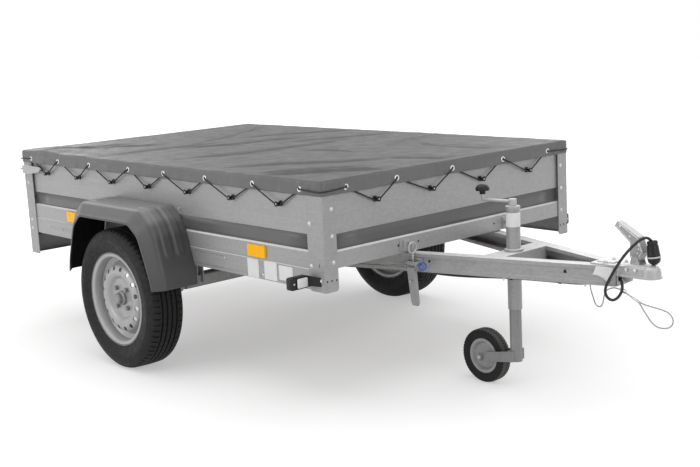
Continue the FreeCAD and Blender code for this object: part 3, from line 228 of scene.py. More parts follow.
@dataclass(frozen=True)
class Finish:
    """A plain finish: colour that drifts a little, uneven gloss, a fine grain and painted top light, which
    makes faces that look up paler.
    """

    name: str
    colour: Colour
    metallic: float = 0.0
    roughness: float = 0.5
    drift: float = 0.08
    drift_scale: float = 9.0
    gloss_drift: float = 0.08
    grain: float = 0.05
    grain_scale: float = 900.0
    specular: float = 0.5
    # Painted top light: how much paler faces that look up are painted, and how far up a face must look before
    # it starts.
    painted_top_light: float = 0.0
    painted_top_light_from: float = 0.3

    def material(self) -> bpy.types.Material:
        """Material of this finish, made once."""
        if self.name not in MADE:
            MADE[self.name] = self.build()
        return MADE[self.name]

    def build(self) -> bpy.types.Material:
        """Wires the material.

        Returns:
            The finished material.
        """
        material = bpy.data.materials.new(self.name)
        g = Graph(material)
        tone = g.noise(self.drift_scale, 4.0)
        colour = self.paint(g, tone)
        # Painted top light: the colour grows with how far the face looks up, as if lit from above; a negative
        # amount paints tops darker.
        if self.painted_top_light:
            colour = g.scaled(colour, g.ramp(g.lean(2), self.painted_top_light_from, 0.97, 1.0, 1.0 + self.painted_top_light))
        bump = g.add("Bump", Strength=1.0, Distance=self.grain / 1000.0, Height=self.height(g))
        shader = g.add("BsdfPrincipled", Base_Color=colour, Metallic=self.metallic, Normal=bump.outputs[0],
                       Roughness=self.gloss(g, tone), Specular_IOR_Level=self.specular, **self.extras())
        g.tree.links.new(shader.outputs[0], g.out.inputs["Surface"])
        material.diffuse_color = (*self.colour, 1.0)
        return material

    def extras(self) -> dict[str, object]:
        """Constant shader values of a special finish."""
        return {}

    def level(self, g: Graph, tone: Socket) -> Socket:
        """Brightness round 1 that follows the slow tone."""
        return g.around(tone, 1.0, self.drift)

    def paint(self, g: Graph, tone: Socket) -> Socket:
        """Colour socket made from the tone."""
        return g.scaled(self.colour, self.level(g, tone))

    def gloss(self, g: Graph, tone: Socket) -> Socket:
        """Roughness socket."""
        return g.around(g.noise(self.drift_scale * 7.0, 2.0), self.roughness, self.gloss_drift)

    def height(self, g: Graph) -> Socket:
        """Height socket of the fine grain."""
        return g.noise(self.grain_scale, 2.0)


@dataclass(frozen=True)
class ZincSheet(Finish):
    """Hot-dip zinc on sheet steel: small crystals, rolled streaks and faint drips."""

    crystal: float = 0.05
    crystal_scale: float = 170.0
    streak: float = 0.04
    streak_stretch: Point = (0.4, 4.0, 9.0)

    def crystals(self, g: Graph, channel: int) -> Socket:
        """Random shade of each crystal, 0 to 1."""
        return g.add("SeparateColor", Color=g.cells(self.crystal_scale, "Color")).outputs[channel]

    def level(self, g: Graph, tone: Socket) -> Socket:
        """Brightness from slow drift, crystals and streaks."""
        shade = g.ramp(self.crystals(g, 0), 0.0, 1.0, -self.crystal, self.crystal)
        streaks = g.around(g.noise(14.0, 3.0, self.streak_stretch), 0.0, self.streak)
        return g.math("ADD", g.math("ADD", super().level(g, tone), shade), streaks)

    def gloss(self, g: Graph, tone: Socket) -> Socket:
        """Roughness from crystals and slow patches."""
        low, high = self.roughness - self.gloss_drift, self.roughness + self.gloss_drift
        return g.math("ADD", g.ramp(self.crystals(g, 1), 0.0, 1.0, low, high), g.around(tone, 0.01, 0.05))

    def height(self, g: Graph) -> Socket:
        """Height of long shallow waves of the sheet with crystal edges."""
        wave = g.noise(5.0, 2.0, (0.5, 1.0, 2.0))
        edges = g.cells(self.crystal_scale, "Distance")
        return g.math("ADD", g.math("MULTIPLY", wave, 6.0), g.math("MULTIPLY", edges, 0.4))


@dataclass(frozen=True)
class CoatedCloth(Finish):
    """Woven cloth under a soft plastic coat."""

    thread: float = 1.4

    def extras(self) -> dict[str, object]:
        """Soft sheen of the coat."""
        return {"Sheen_Weight": 0.02, "Sheen_Roughness": 0.5}

    def height(self, g: Graph) -> Socket:
        """Threads that cross under the coat, with slow creases."""
        threads = g.waves(self.thread, [g.axis(k) for k in range(3)])
        crease = g.noise(30.0, 4.0, (1.0, 2.5, 1.0))
        return g.math("ADD", g.math("MULTIPLY", threads, 0.10), g.math("MULTIPLY", crease, 3.2))

    def level(self, g: Graph, tone: Socket) -> Socket:
        """Brightness with paler streaks from stretched noise."""
        pale_streaks = g.noise(24.0, 5.0, (1.0, 3.0, 1.0), 0.6)
        return g.math("ADD", super().level(g, tone), g.ramp(pale_streaks, 0.56, 0.74, 0.0, 0.22))


@dataclass(frozen=True)
class Braid(Finish):
    """Woven sleeve of an elastic cord or the lay of a wire strand."""

    pitch: float = 3.0
    light: Colour = (0.05, 0.05, 0.05)

    def height(self, g: Graph) -> Socket:
        """Crossed diagonal ridges."""
        ways = [g.add("VectorMath", {"operation": "DOT_PRODUCT"}, i0=g.place, i1=signs).outputs["Value"]
                for signs in ((1.0, 1.0, 1.0), (1.0, -1.0, 1.0), (1.0, 1.0, -1.0))]
        return g.math("MULTIPLY", g.waves(self.pitch, ways), 0.5)

    def paint(self, g: Graph, tone: Socket) -> Socket:
        """Dark sleeve with single lighter threads."""
        spots = g.ramp(g.cells(700.0, "Distance"), 0.1, 0.5, 1.0, 0.0)
        return g.mix(g.math("MULTIPLY", spots, 0.5), self.colour, self.light)


@dataclass(frozen=True)
class Rubber(Finish):
    """Rubber: dull black with fine dust, and a paler tread where it is worn."""

    dust: Colour = (0.16, 0.155, 0.15)
    dust_amount: float = 0.25
    worn: float = 0.0

    def paint(self, g: Graph, tone: Socket) -> Socket:
        """Black mixed with fine pale dust."""
        fine = g.noise(60.0, 6.0, None, 0.7)
        amount = g.math("MULTIPLY", g.ramp(fine, 0.35, 0.75, 0.0, 1.0), self.dust_amount)
        if self.worn:
            across = g.math("ABSOLUTE", g.lean(1))
            amount = g.math("MAXIMUM", amount, g.ramp(across, 0.35, 0.7, self.worn, 0.0))
        return g.mix(amount, self.colour, self.dust)


@dataclass(frozen=True)
class Lens(Finish):
    """Clear or coloured lens with moulded ribs behind a hard glossy face."""

    rib: float = 4.0
    coat: float = 0.8
    # Emission strength: a painted glow, for a reflector that is no lamp.
    glow: float = 0.0

    def extras(self) -> dict[str, object]:
        """Hard clear coat over the moulding, and a painted glow: emission standing in for the light a
        reflector sends back.
        """
        return {"Coat_Weight": self.coat, "Coat_Roughness": 0.05, "Emission_Color": (*self.colour, 1.0),
                "Emission_Strength": self.glow}

    def height(self, g: Graph) -> Socket:
        """Fine crossed ribs."""
        return g.math("MULTIPLY", g.waves(self.rib, (g.axis(1), g.axis(2))), 0.5)


@dataclass(frozen=True)
class LampZones(Lens):
    """Rear lamp lens with its coloured fields side by side."""

    inner: Colour = (0.55, 0.02, 0.01)
    outer: Colour = (0.9, 0.32, 0.02)
    split: float = 0.47

    def paint(self, g: Graph, tone: Socket) -> Socket:
        """Red field inboard, amber field outboard."""
        outboard = g.math("GREATER_THAN", g.math("ABSOLUTE", g.axis(1)), self.split)
        return g.mix(outboard, self.inner, self.outer)


@dataclass(frozen=True)
class PlyWood(Finish):
    """Film-faced board with its grain."""

    def level(self, g: Graph, tone: Socket) -> Socket:
        """Long grain lines along the floor."""
        return g.around(g.noise(9.0, 8.0, (0.4, 9.0, 30.0), 0.6), 1.0, 0.3)


class Finishes:
    """Every finish on the trailer."""

    # The top-light amounts paint the tops paler, as light from above would; on the sheet they also paint a
    # bright line on each crease slope.
    SHEET = ZincSheet("zinc_sheet", grey(161), 0.25, 0.40, 0.035, 2.5, 0.05, 0.25, painted_top_light=1.6)
    FRONT = ZincSheet("zinc_front", grey(162), 0.25, 0.42, 0.035, 2.5, 0.05, 0.25, painted_top_light=1.6)
    POST = ZincSheet("zinc_post", grey(158), 0.25, 0.40, 0.04, 5.0, 0.05, 0.20, painted_top_light=0.5)
    STEEL = ZincSheet("zinc_steel", grey(162), 0.2, 0.55, 0.07, 9.0, 0.08, 0.25, crystal=0.06,
                      crystal_scale=120.0, painted_top_light=1.05, painted_top_light_from=0.85)
    TUBE = ZincSheet("zinc_tube", grey(158), 0.3, 0.36, 0.05, 9.0, 0.08, 0.2, streak=0.13,
                     streak_stretch=(6.0, 6.0, 0.12), painted_top_light=1.2, painted_top_light_from=0.85)
    UNDER = ZincSheet("zinc_under", grey(150), 0.3, 0.48, 0.09, 9.0, 0.08, 0.3, crystal=0.06,
                      crystal_scale=110.0)
    LEG = ZincSheet("zinc_leg", grey(138), 0.3, 0.48, 0.07, 9.0, 0.08, 0.25, crystal=0.05,
                    streak=0.10, streak_stretch=(6.0, 6.0, 0.12))
    PLATED = Finish("plated_bright", grey(156), 0.28, 0.36, 0.05, 20.0, 0.06, 0.03, painted_top_light=0.9)
    CAST = Finish("plated_coupling", grey(178), 0.2, 0.40, 0.04, 14.0, 0.05, 0.05, 500.0, painted_top_light=0.6)
    BOLT = Finish("plated_bolts", grey(205), 0.5, 0.30, 0.08, 60.0, 0.08, 0.03)
    # Near black: painted shade for the drilled holes and slots, also used on the beam plugs.
    HOLE = Finish("dark_hole", grey(20), 0.0, 0.8, 0.1, 60.0, 0.08, 0.03)
    WIRE = Braid("steel_strand", grey(150), 0.8, 0.4, pitch=2.2, light=grey(190), grain=0.25)
    # The cloth's top is painted darker than its skirts: painted shade on the top.
    CLOTH = CoatedCloth("tarp_cloth", grey(114), 0.0, 0.46, 0.08, 2.2, 0.06, 0.35, specular=0.25,
                        painted_top_light=-0.55)
    CORD = Braid("cord_sleeve", grey(18), 0.0, 0.6, pitch=3.4, light=grey(52), grain=0.35)
    LEAD = Finish("lead_sheath", grey(30), 0.0, 0.42, 0.15, 40.0, 0.08, 0.03, specular=0.4)
    BLACK = Finish("black_plastic", grey(24), 0.0, 0.38, 0.12, 30.0, 0.08, 0.05, 1200.0, specular=0.28)
    PANEL = Finish("lamp_panel_coat", grey(150), 0.0, 0.5, 0.08, 8.0, 0.06, 0.05, 900.0)
    # The guard's crown is painted far paler than its sides: painted top light.
    GUARD = Finish("guard_plastic", grey(68), 0.0, 0.42, 0.05, 10.0, 0.05, 0.10, 700.0, painted_top_light=2.3)
    # Darker copy of the guard plastic: painted shade for the guard's inner faces.
    GUARD_INNER_SHADE = Finish("guard_painted_inner_shade", grey(24), 0.0, 0.7, 0.1, 20.0, 0.08, 0.05, 700.0, specular=0.1)
    TYRE = Rubber("tyre_rubber", grey(19), 0.0, 0.62, gloss_drift=0.08, grain=0.10, grain_scale=500.0,
                  dust_amount=0.08, specular=0.25)
    SOLID = Rubber("solid_rubber", grey(32), 0.0, 0.66, grain=0.1, grain_scale=500.0, dust_amount=0.04,
                   specular=0.2, worn=0.75)
    RIM = Finish("rim_silver", grey(172), 0.25, 0.36, 0.04, 12.0, 0.05, 0.03, 1500.0)
    HUB = Finish("hub_grey", grey(140), 0.4, 0.34, 0.08, 20.0, 0.08, 0.05)
    FLOOR = PlyWood("floor_board", linear((92, 62, 40)), 0.0, 0.5, grain=0.15, grain_scale=300.0)
    STRIPE = Finish("stripe_film", grey(92), 0.0, 0.36, 0.04, 6.0, 0.05, 0.02, 400.0)
    # The amber side reflector glows with painted light.
    AMBER = Lens("amber_lens", linear((250, 180, 4)), 0.0, 0.3, grain=0.35, specular=0.12, rib=5.0, coat=0.05,
                 glow=0.22)
    CLEAR = Lens("clear_lens", grey(228), 0.0, 0.10, grain=0.4, rib=3.5)
    LAMPS = LampZones("rear_lens", linear((190, 20, 14)), 0.0, 0.15, grain=0.35, rib=5.0)
    PAPER = Finish("blank_label", grey(236), 0.0, 0.45, 0.03, 30.0, 0.05, 0.02, 600.0)
    PLATE = Finish("blank_plate", grey(214), 0.4, 0.35, 0.04, 30.0, 0.05, 0.02, 600.0)
    SEAL = Finish("pale_seal", grey(196), 0.0, 0.45, 0.04, 60.0, 0.05, 0.02)
    BLUE = Finish("blue_ring", linear((10, 100, 205)), 0.0, 0.4, 0.06, 40.0, 0.05, 0.03)
    BRASS = Finish("eyelet_nickel", grey(200), 0.9, 0.25, 0.08, 80.0, 0.06, 0.02)


NODE_FINISH: dict[str, Finish] = {
    "side_panels": Finishes.SHEET, "front_panel": Finishes.FRONT, "front_posts": Finishes.POST,
    "rear_posts": Finishes.POST, "tailgate": Finishes.SHEET, "rear_sill": Finishes.UNDER,
    "floor_bearers": Finishes.UNDER, "floor": Finishes.FLOOR, "lamp_panel": Finishes.PANEL,
    "rear_lamps": Finishes.LAMPS, "tailgate_latches": Finishes.CAST, "mudguards": Finishes.GUARD,
    "side_reflectors": Finishes.AMBER, "front_marker_lamps": Finishes.BLACK, "tarpaulin": Finishes.CLOTH,
    "rear_skirt": Finishes.CLOTH, "tarp_hooks": Finishes.BLACK, "tailgate_hooks": Finishes.BLACK,
    "tarp_cord": Finishes.CORD, "rear_cord": Finishes.CORD, "latch_eyes": Finishes.CAST,
    "drawbar_beams": Finishes.STEEL, "cross_member": Finishes.STEEL, "pivot_bosses": Finishes.STEEL,
    "axle_beam": Finishes.UNDER, "swing_arms": Finishes.UNDER, "jockey_outer_tube": Finishes.TUBE,
    "coupling_head": Finishes.CAST, "front_latches": Finishes.PLATED, "plug": Finishes.BLACK,
    "lead": Finishes.LEAD, "safety_cable": Finishes.WIRE, "coupling_handle": Finishes.PLATED,
    "jockey_nut": Finishes.STEEL, "jockey_leg": Finishes.LEG, "jockey_crank": Finishes.CAST,
    "crank_knob": Finishes.BLACK, "jockey_tyre": Finishes.SOLID, "jockey_rim": Finishes.STEEL,
    "right_tyre": Finishes.TYRE, "left_tyre": Finishes.TYRE, "right_rim": Finishes.RIM,
    "left_rim": Finishes.RIM, "right_hub": Finishes.HUB, "left_hub": Finishes.HUB,
}
NO_BEVEL = {"tarp_cord", "rear_cord", "lead", "safety_cable", "tarpaulin", "rear_skirt", "right_tyre",
            "left_tyre", "jockey_tyre", "mudguards"}


def add_object(name: str, data: bpy.types.ID) -> Object:
    """Puts an object for a mesh, curve, camera or lamp into the scene."""
    obj = bpy.data.objects.new(name, data)
    bpy.context.collection.objects.link(obj)
    return obj


def settle(obj: Object, body: Body, stands_for: str = "") -> Object:
    """Rides a piece on its body, and hides the node that it stands for."""
    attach(obj, body.value)
    if stands_for:
        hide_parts(stands_for)
    return obj


def dress(mesh: bpy.types.Mesh, finish: Finish, smooth: float) -> Object:
    """Object for a mesh, with its finish; edges sharper than the smooth angle in degrees stay sharp."""
    mesh.polygons.foreach_set("use_smooth", [True] * len(mesh.polygons))
    mesh.set_sharp_from_angle(angle=math.radians(smooth))
    mesh.materials.append(finish.material())
    return add_object(mesh.name, mesh)


def piece(name: str, verts: Iterable[Vector], faces: Iterable[Sequence[int]], finish: Finish,
          smooth: float) -> Object:
    """Object from points in metres and the indices of each face."""
    mesh = bpy.data.meshes.new(name)
    mesh.from_pydata([tuple(v) for v in verts], [], [tuple(f) for f in faces])
    mesh.validate()
    return dress(mesh, finish, smooth)


def thicken(obj: Object, name: str, width: float, offset: float = -1.0) -> bpy.types.Modifier:
    """Gives a thin piece its thickness in millimetres."""
    solid = obj.modifiers.new(name, "SOLIDIFY")
    solid.thickness = width / 1000.0
    solid.offset = offset
    return solid


def bevel(obj: Object, width: float, angle: float = 35.0) -> None:
    """Adds a small bevel to the sharp edges of a piece; width in millimetres."""
    mod = obj.modifiers.new("edge", "BEVEL")
    mod.width = width / 1000.0
    mod.segments = 2
    mod.limit_method = "ANGLE"
    mod.angle_limit = math.radians(angle)
    mod.harden_normals = False


class Form:
    """Mesh that is being built from turned, gridded and skinned parts."""

    def __init__(self) -> None:
        """Starts an empty mesh."""
        self.bm = bmesh.new()

    def lathe(self, profile: Iterable[Flat], centre: Point, axis: Point, steps: int,
              closed: bool = False) -> None:
        """Turns a profile round an axis.

        Args:
            profile: Radius and distance along the axis, in millimetres.
            centre: Origin of the axis in millimetres.
            axis: Direction of the axis.
            steps: Number of segments.
            closed: Whether the profile's last point joins its first.
        """
        ahead = Vector(axis).normalized()
        side = ahead.orthogonal().normalized()
        up = ahead.cross(side).normalized()
        rows = []
        for r, w in profile:
            base = at(*centre) + ahead * (w / 1000.0)
            rows.append([self.bm.verts.new(base + (side * math.cos(a) + up * math.sin(a)) * (r / 1000.0))
                         for a in (angles(steps) if r else (0.0,))])
        for a, b in zip(rows, rows[1:] + rows[:1] if closed else rows[1:]):
            for k in range(steps):
                m = (k + 1) % steps
                corners = dict.fromkeys((a[k % len(a)], a[m % len(a)], b[m % len(b)], b[k % len(b)]))
                self.bm.faces.new(tuple(corners))

    def grid(self, rows: Sequence[Sequence[Vector]]) -> None:
        """Adds a grid of quads from rows of points in metres."""
        made = [[self.bm.verts.new(p) for p in row] for row in rows]
        for a, b in zip(made, made[1:]):
            for k in range(len(a) - 1):
                self.bm.faces.new((a[k], b[k], b[k + 1], a[k + 1]))

    def skin(self, loops: Sequence[Sequence[Vector]]) -> None:
        """Joins closed loops of points in metres and caps both ends."""
        made = [[self.bm.verts.new(p) for p in loop] for loop in loops]
        for a, b in zip(made, made[1:]):
            for k in range(len(a)):
                m = (k + 1) % len(a)
                self.bm.faces.new((a[k], a[m], b[m], b[k]))
        self.bm.faces.new(made[0][::-1])
        self.bm.faces.new(made[-1])

    def done(self, name: str, finish: Finish, body: Body, slot: str, stands_for: str = "",
             smooth: float = 35.0) -> Object:
        """Ends the mesh with outward faces and settles its piece.

        Args:
            name: Plain piece name.
            finish: Finish of the whole piece.
            body: Body that it rides on.
            slot: Not used.
            stands_for: Node that it replaces, if any.
            smooth: Edges sharper than this many degrees stay sharp.

        Returns:
            The new object.
        """
        bmesh.ops.recalc_face_normals(self.bm, faces=self.bm.faces)
        mesh = bpy.data.meshes.new(name)
        self.bm.to_mesh(mesh)
        self.bm.free()
        return settle(dress(mesh, finish, smooth), body, stands_for)


@dataclass(frozen=True)
class Cord:
    """A cord that lies along a route; its radius is in millimetres."""

    name: str
    stands_for: str
    body: Body
    radius: float
    finish: Finish
    slot: str
    far_end: str
    stiffness: str
    lay: str

    def build(self, points: Sequence[Vector], with_pieces: Sequence[Object] = ()) -> None:
        """Lays the cord along control points in metres and logs its length."""
        data = bpy.data.curves.new(self.name, "CURVE")
        data.dimensions = "3D"
        spline = data.splines.new("NURBS")
        spline.points.add(len(points) - 1)
        for control, where in zip(spline.points, points):
            control.co = (*where, 1.0)
        spline.order_u = 3
        spline.use_endpoint_u = True
        data.resolution_u = 8
        data.bevel_depth = self.radius / 1000.0
        data.bevel_resolution = 3
        data.use_fill_caps = True
        data.materials.append(self.finish.material())
        obj = settle(add_object(self.name, data), self.body, self.stands_for)
        length = self.length(data)
        log.info("%s, %.2f m", self.name, length)

    def length(self, curve: bpy.types.Curve) -> float:
        """Length in metres of a curve's centreline."""
        data = curve.copy()
        data.bevel_depth = 0.0
        probe = bpy.data.objects.new("probe", data)
        mesh = bpy.data.meshes.new_from_object(probe)
        ends = [[mesh.vertices[k].co for k in edge.vertices] for edge in mesh.edges]
        total = sum((a - b).length for a, b in ends)
        bpy.data.objects.remove(probe)
        bpy.data.meshes.remove(mesh)
        bpy.data.curves.remove(data)
        return total


@dataclass
class PhotoCamera:
    """Camera solved from the photograph's corners and wheel ellipses."""

    place: Point = (3.386584, -2.973978, 1.274719)
    yaw: float = 2.41529
    pitch: float = -0.18134
    roll: float = -0.05136
    lens: float = 59.753

    def build(self) -> None:
        """Adds the camera and makes it the scene's own."""
        data = bpy.data.cameras.new("camera")
        data.lens = self.lens
        data.sensor_width = 36.0
        data.clip_end = 60.0
        cam = add_object("camera", data)
        cam.matrix_world = Matrix.Translation(self.place) @ self.turn().to_4x4()
        bpy.context.scene.camera = cam

    def turn(self) -> Matrix:
        """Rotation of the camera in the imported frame."""
        level = math.cos(self.pitch)
        ahead = Vector((level * math.cos(self.yaw), level * math.sin(self.yaw), math.sin(self.pitch)))
        right = ahead.cross(Vector((0, 0, 1))).normalized()
        up = right.cross(ahead)
        c, s = math.cos(self.roll), math.sin(self.roll)
        r2 = right * c + up * s
        u2 = up * c - right * s
        return Matrix((r2, u2, -ahead)).transposed()


@dataclass
class Studio:
    """Pale floor, soft lamps and a white world."""

    floor_size: float = 40.0
    floor_tone: float = 0.72
    floor_lift: float = 0.40
    world_level: float = 0.42

    def build(self) -> None:
        """Adds floor, lamps and world, and sets the view."""
        self.floor()
        self.world()
        self.lamp("sky_panel", (0.0, -0.3, 4.6), (0.0, 0.0, 0.4), (6.0, 5.0), 122.0)
        self.lamp("side_panel_light", (-1.8, -5.2, 2.3), (0.0, 0.0, 0.6), (4.5, 3.0), 74.0)
        self.lamp("front_light", (5.6, -0.6, 2.4), (0.3, 0.0, 0.5), (3.4, 3.0), 58.0)
        self.lamp("far_light", (-1.0, 5.0, 2.6), (0.0, 0.0, 0.5), (4.0, 3.0), 50.0)
        self.lamp("rear_light", (-5.6, 0.6, 2.4), (-0.3, 0.0, 0.5), (3.4, 3.0), 50.0)
        bpy.context.scene.view_settings.view_transform = "Standard"

    def lamp(self, name: str, place: Point, target: Point, size: Flat, watts: float) -> None:
        """Adds one soft panel lamp that looks at its target."""
        data = bpy.data.lights.new(name, "AREA")
        data.shape = "RECTANGLE"
        data.size, data.size_y = size
        data.energy = watts
        obj = add_object(name, data)
        obj.location = place
        obj.rotation_euler = (Vector(target) - Vector(place)).to_track_quat("-Z", "Y").to_euler()

    def floor(self) -> None:
        """Pale floor that reads as white and keeps the shadow."""
        h = self.floor_size / 2.0
        mesh = bpy.data.meshes.new("studio_floor")
        mesh.from_pydata([(-h, -h, 0), (h, -h, 0), (h, h, 0), (-h, h, 0)], [], [(0, 1, 2, 3)])
        mesh.materials.append(bpy.data.materials.new("studio_floor"))
        g = Graph(mesh.materials[0])
        diffuse = g.add("BsdfDiffuse", Color=(self.floor_tone,) * 3 + (1.0,))
        away = g.add("VectorMath", {"operation": "LENGTH"}, i0=g.place).outputs["Value"]
        lift = g.ramp(away, 2.0, 4.2, self.floor_lift, 1.0)
        glow = g.add("Emission", Color=(1.0, 1.0, 1.0, 1.0), Strength=self.seen(g, lift))
        both = g.add("AddShader", i0=diffuse.outputs[0], i1=glow.outputs[0])
        g.tree.links.new(both.outputs[0], g.out.inputs["Surface"])
        add_object("studio_floor", mesh)

    def seen(self, g: Graph, strength: Socket) -> Socket:
        """Strength for what the camera, mirrors and glass see, and none for other rays."""
        path = g.add("LightPath")
        rays = g.math("MAXIMUM", path.outputs["Is Camera Ray"], path.outputs["Is Glossy Ray"])
        rays = g.math("MAXIMUM", rays, path.outputs["Is Transmission Ray"])
        return g.math("MULTIPLY", rays, strength)

    def world(self) -> None:
        """White surroundings for the camera and soft grey light for the rest."""
        world = bpy.data.worlds.new("studio")
        g = Graph(world, "OutputWorld")
        path = g.add("LightPath")
        seen = g.math("MAXIMUM", path.outputs["Is Camera Ray"], path.outputs["Is Glossy Ray"])
        back = g.add("Background", Color=(1.0, 1.0, 1.0, 1.0),
                     Strength=g.ramp(seen, 0.0, 1.0, self.world_level, 1.0))
        g.tree.links.new(back.outputs[0], g.out.inputs["Surface"])
        bpy.context.scene.world = world


@dataclass
class TarpLacing:
    """Elastic cord through the tarpaulin's eyelets and round its hooks."""

    radius: float = 2.5
    outside: float = 5.6
    inside: float = -6.0
    at_hook: float = 4.0
    wrap: float = 7.8
    stretch: float = 30.0
    side_eyes: tuple = (0.0394, 0.1576, 0.2862, 0.4345, 0.5567, 0.6882, 0.8251, 0.9478)
    side_hooks: tuple = (0.1054, 0.2374, 0.3709, 0.4995, 0.6315, 0.7631, 0.8931)
    front_eyes: tuple = (-0.829, -0.464, -0.030, 0.400, 0.812)
    front_hooks: tuple = (-0.619, -0.201, 0.209, 0.627)
    side_legs: tuple = ((0, 1), (0, 1), (0, 1), (0, 0), (1, 0), (1, 0), (1, 0))
    end_legs: tuple = ((0, 1), (0, 1), (0, 0), (1, 0))

    def eyes_along(self) -> list[float]:
        """Eyelets of a long side, in millimetres."""
        return [REAR_X + (FRONT_X - REAR_X) * k for k in self.side_eyes]

    def hooks_along(self) -> list[float]:
        """Hooks of a long side."""
        return [REAR_X + (FRONT_X - REAR_X) * k for k in self.side_hooks]

    def eyes_across(self) -> list[float]:
        """Eyelets of the front, from right to left."""
        return [HALF_W * k for k in self.front_eyes]

    def hooks_across(self) -> list[float]:
        """Hooks of the front, from right to left."""
        return [HALF_W * k for k in self.front_hooks]

    def corner(self, e0: float, e1: float, hook: float) -> Flat:
        """Corner of the two legs that both touch the hook's neck from below."""
        lines = []
        for along, sign in ((e0, 1), (e1, -1)):
            da, dz = hook - along, HOOK_Z - EYE_Z
            a = math.atan2(dz, da) - sign * math.asin(self.wrap / math.hypot(da, dz))
            lines.append((along, math.cos(a), math.sin(a)))
        (x0, u0, w0), (x1, u1, w1) = lines
        t = (x1 - x0) * w1 / (u0 * w1 - w0 * u1)
        return x0 + t * u0, EYE_Z + t * w0

    def legs(self, eyes: Sequence[float], hooks: Sequence[float], sides: Sequence[tuple[int, int]],
             lift: float = 0.0) -> list[Point]:
        """Lacing along one side.

        Args:
            eyes: Eyelets along the side.
            hooks: Hooks between them.
            sides: For each hook, whether its two legs run outside the skirt.
            lift: Taken off the depth at hooks and inside, for the rear.

        Returns:
            Control points (along, depth, z), with a point near each turn of the long straight legs.
        """
        out: list[Point] = [(eyes[0], self.outside, EYE_Z)]
        inside = self.inside + lift
        for k, (hook, (first, last)) in enumerate(zip(hooks, sides)):
            x, z = self.corner(eyes[k], eyes[k + 1], hook)
            start = (eyes[k], self.outside if first else inside, EYE_Z)
            turn = (x, self.at_hook - lift * 0.55, z)
            end = (eyes[k + 1], self.outside if last else inside, EYE_Z)
            if out[-1] != start:
                out.append(start)
            out += [*self.straight(start, turn), turn, *self.straight(turn, end), end]
        if out[-1][1] != self.outside:
            out.append((eyes[-1], self.outside, EYE_Z))
        return out

    def straight(self, a: Point, b: Point) -> list[Point]:
        """Two points that keep a long leg straight, one near each of its ends."""
        run = math.dist(a, b)
        t = self.stretch / run
        if t > 0.4:
            return []
        near = tuple(a[i] + (b[i] - a[i]) * t * 0.5 for i in range(3))
        far = tuple(b[i] + (a[i] - b[i]) * t for i in range(3))
        return [near, far]

    def front_route(self) -> list[Vector]:
        """Route along the right side, round the front and back along the left side."""
        side = self.legs(self.eyes_along(), self.hooks_along(), self.side_legs)
        across = self.legs(self.eyes_across(), self.hooks_across(), self.end_legs)
        y, x = HALF_W + self.outside, FRONT_X + self.outside
        start = (REAR_X + 27.6, y, EYE_Z - 2.0)
        turn = [(x - 36.0, y, EYE_Z - 4.5), (x, y, EYE_Z - 4.0), (x, y - 30.0, EYE_Z - 4.5)]
        left = [start] + [(a, HALF_W + d, z) for a, d, z in side] + turn
        right = [(a, -b, z) for a, b, z in left]
        return [at(*q) for q in right + [(FRONT_X + d, a, z) for a, d, z in across] + left[::-1]]

    def rear_route(self) -> list[Vector]:
        """Route across the rear skirt."""
        across = self.legs(self.eyes_across(), self.hooks_across(), self.end_legs, 0.9)
        y, x = HALF_W + self.outside, REAR_X - self.outside
        left = [(REAR_X + 27.0, y, EYE_Z - 2.0), (x + 8.0, y, EYE_Z - 3.0), (x, y, EYE_Z - 3.0),
                (x, y - 8.0, EYE_Z - 3.0)]
        right = [(a, -b, z) for a, b, z in left]
        return [at(*q) for q in right + [(REAR_X - d, a, z) for a, d, z in across] + left[::-1]]

    def build(self) -> None:
        """Adds both cords."""
        for name, node, points in (("tied_cord", "tarp_cord", self.front_route()),
                                   ("rear_tied_cord", "rear_cord", self.rear_route())):
            cord = Cord(name, node, Body.BOX, self.radius, Finishes.CORD, "cord_black", "object", "limp",
                        "taut")
            cord.build(points)


def spaced(low: float, high: float, marks: Iterable[float], step: float) -> list[float]:
    """Grid lines from low to high through every mark, no further apart than step.

    Args:
        low: First line in millimetres.
        high: Last line.
        marks: Lines that must be there.
        step: Widest gap that is left.

    Returns:
        Sorted lines.
    """
    fixed = sorted({round(m, 3) for m in marks if low < m < high} | {low, high})
    out = [fixed[0]]
    for a, b in zip(fixed, fixed[1:]):
        parts = max(1, math.ceil((b - a) / step - 1e-6))
        out += [a + (b - a) * (k + 1) / parts for k in range(parts)]
    return [round(v, 3) for v in out]


def bell(distance: float, width: float) -> float:
    """Smooth bump of a distance, 1 in the middle."""
    return math.exp(-((distance / width) ** 2))


def line_distance(x: float, y: float, line: Sequence[Flat]) -> Flat:
    """Distance to a broken line, and how far along it, 0 to 1."""
    best, along, run = math.inf, 0.0, 0.0
    lengths = [math.dist(a, b) for a, b in zip(line, line[1:])]
    total = sum(lengths)
    for (ax, ay), (bx, by), length in zip(line, line[1:], lengths):
        t = ((x - ax) * (bx - ax) + (y - ay) * (by - ay)) / (length * length)
        t = min(1.0, max(0.0, t))
        d = math.hypot(x - ax - t * (bx - ax), y - ay - t * (by - ay))
        if d < best:
            best, along = d, (run + t * length) / total
        run += length
    return best, along


def fold_with_gate(obj: Object) -> None:
    """Gives a piece of the tail its own copy of its mesh."""
    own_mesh(obj)


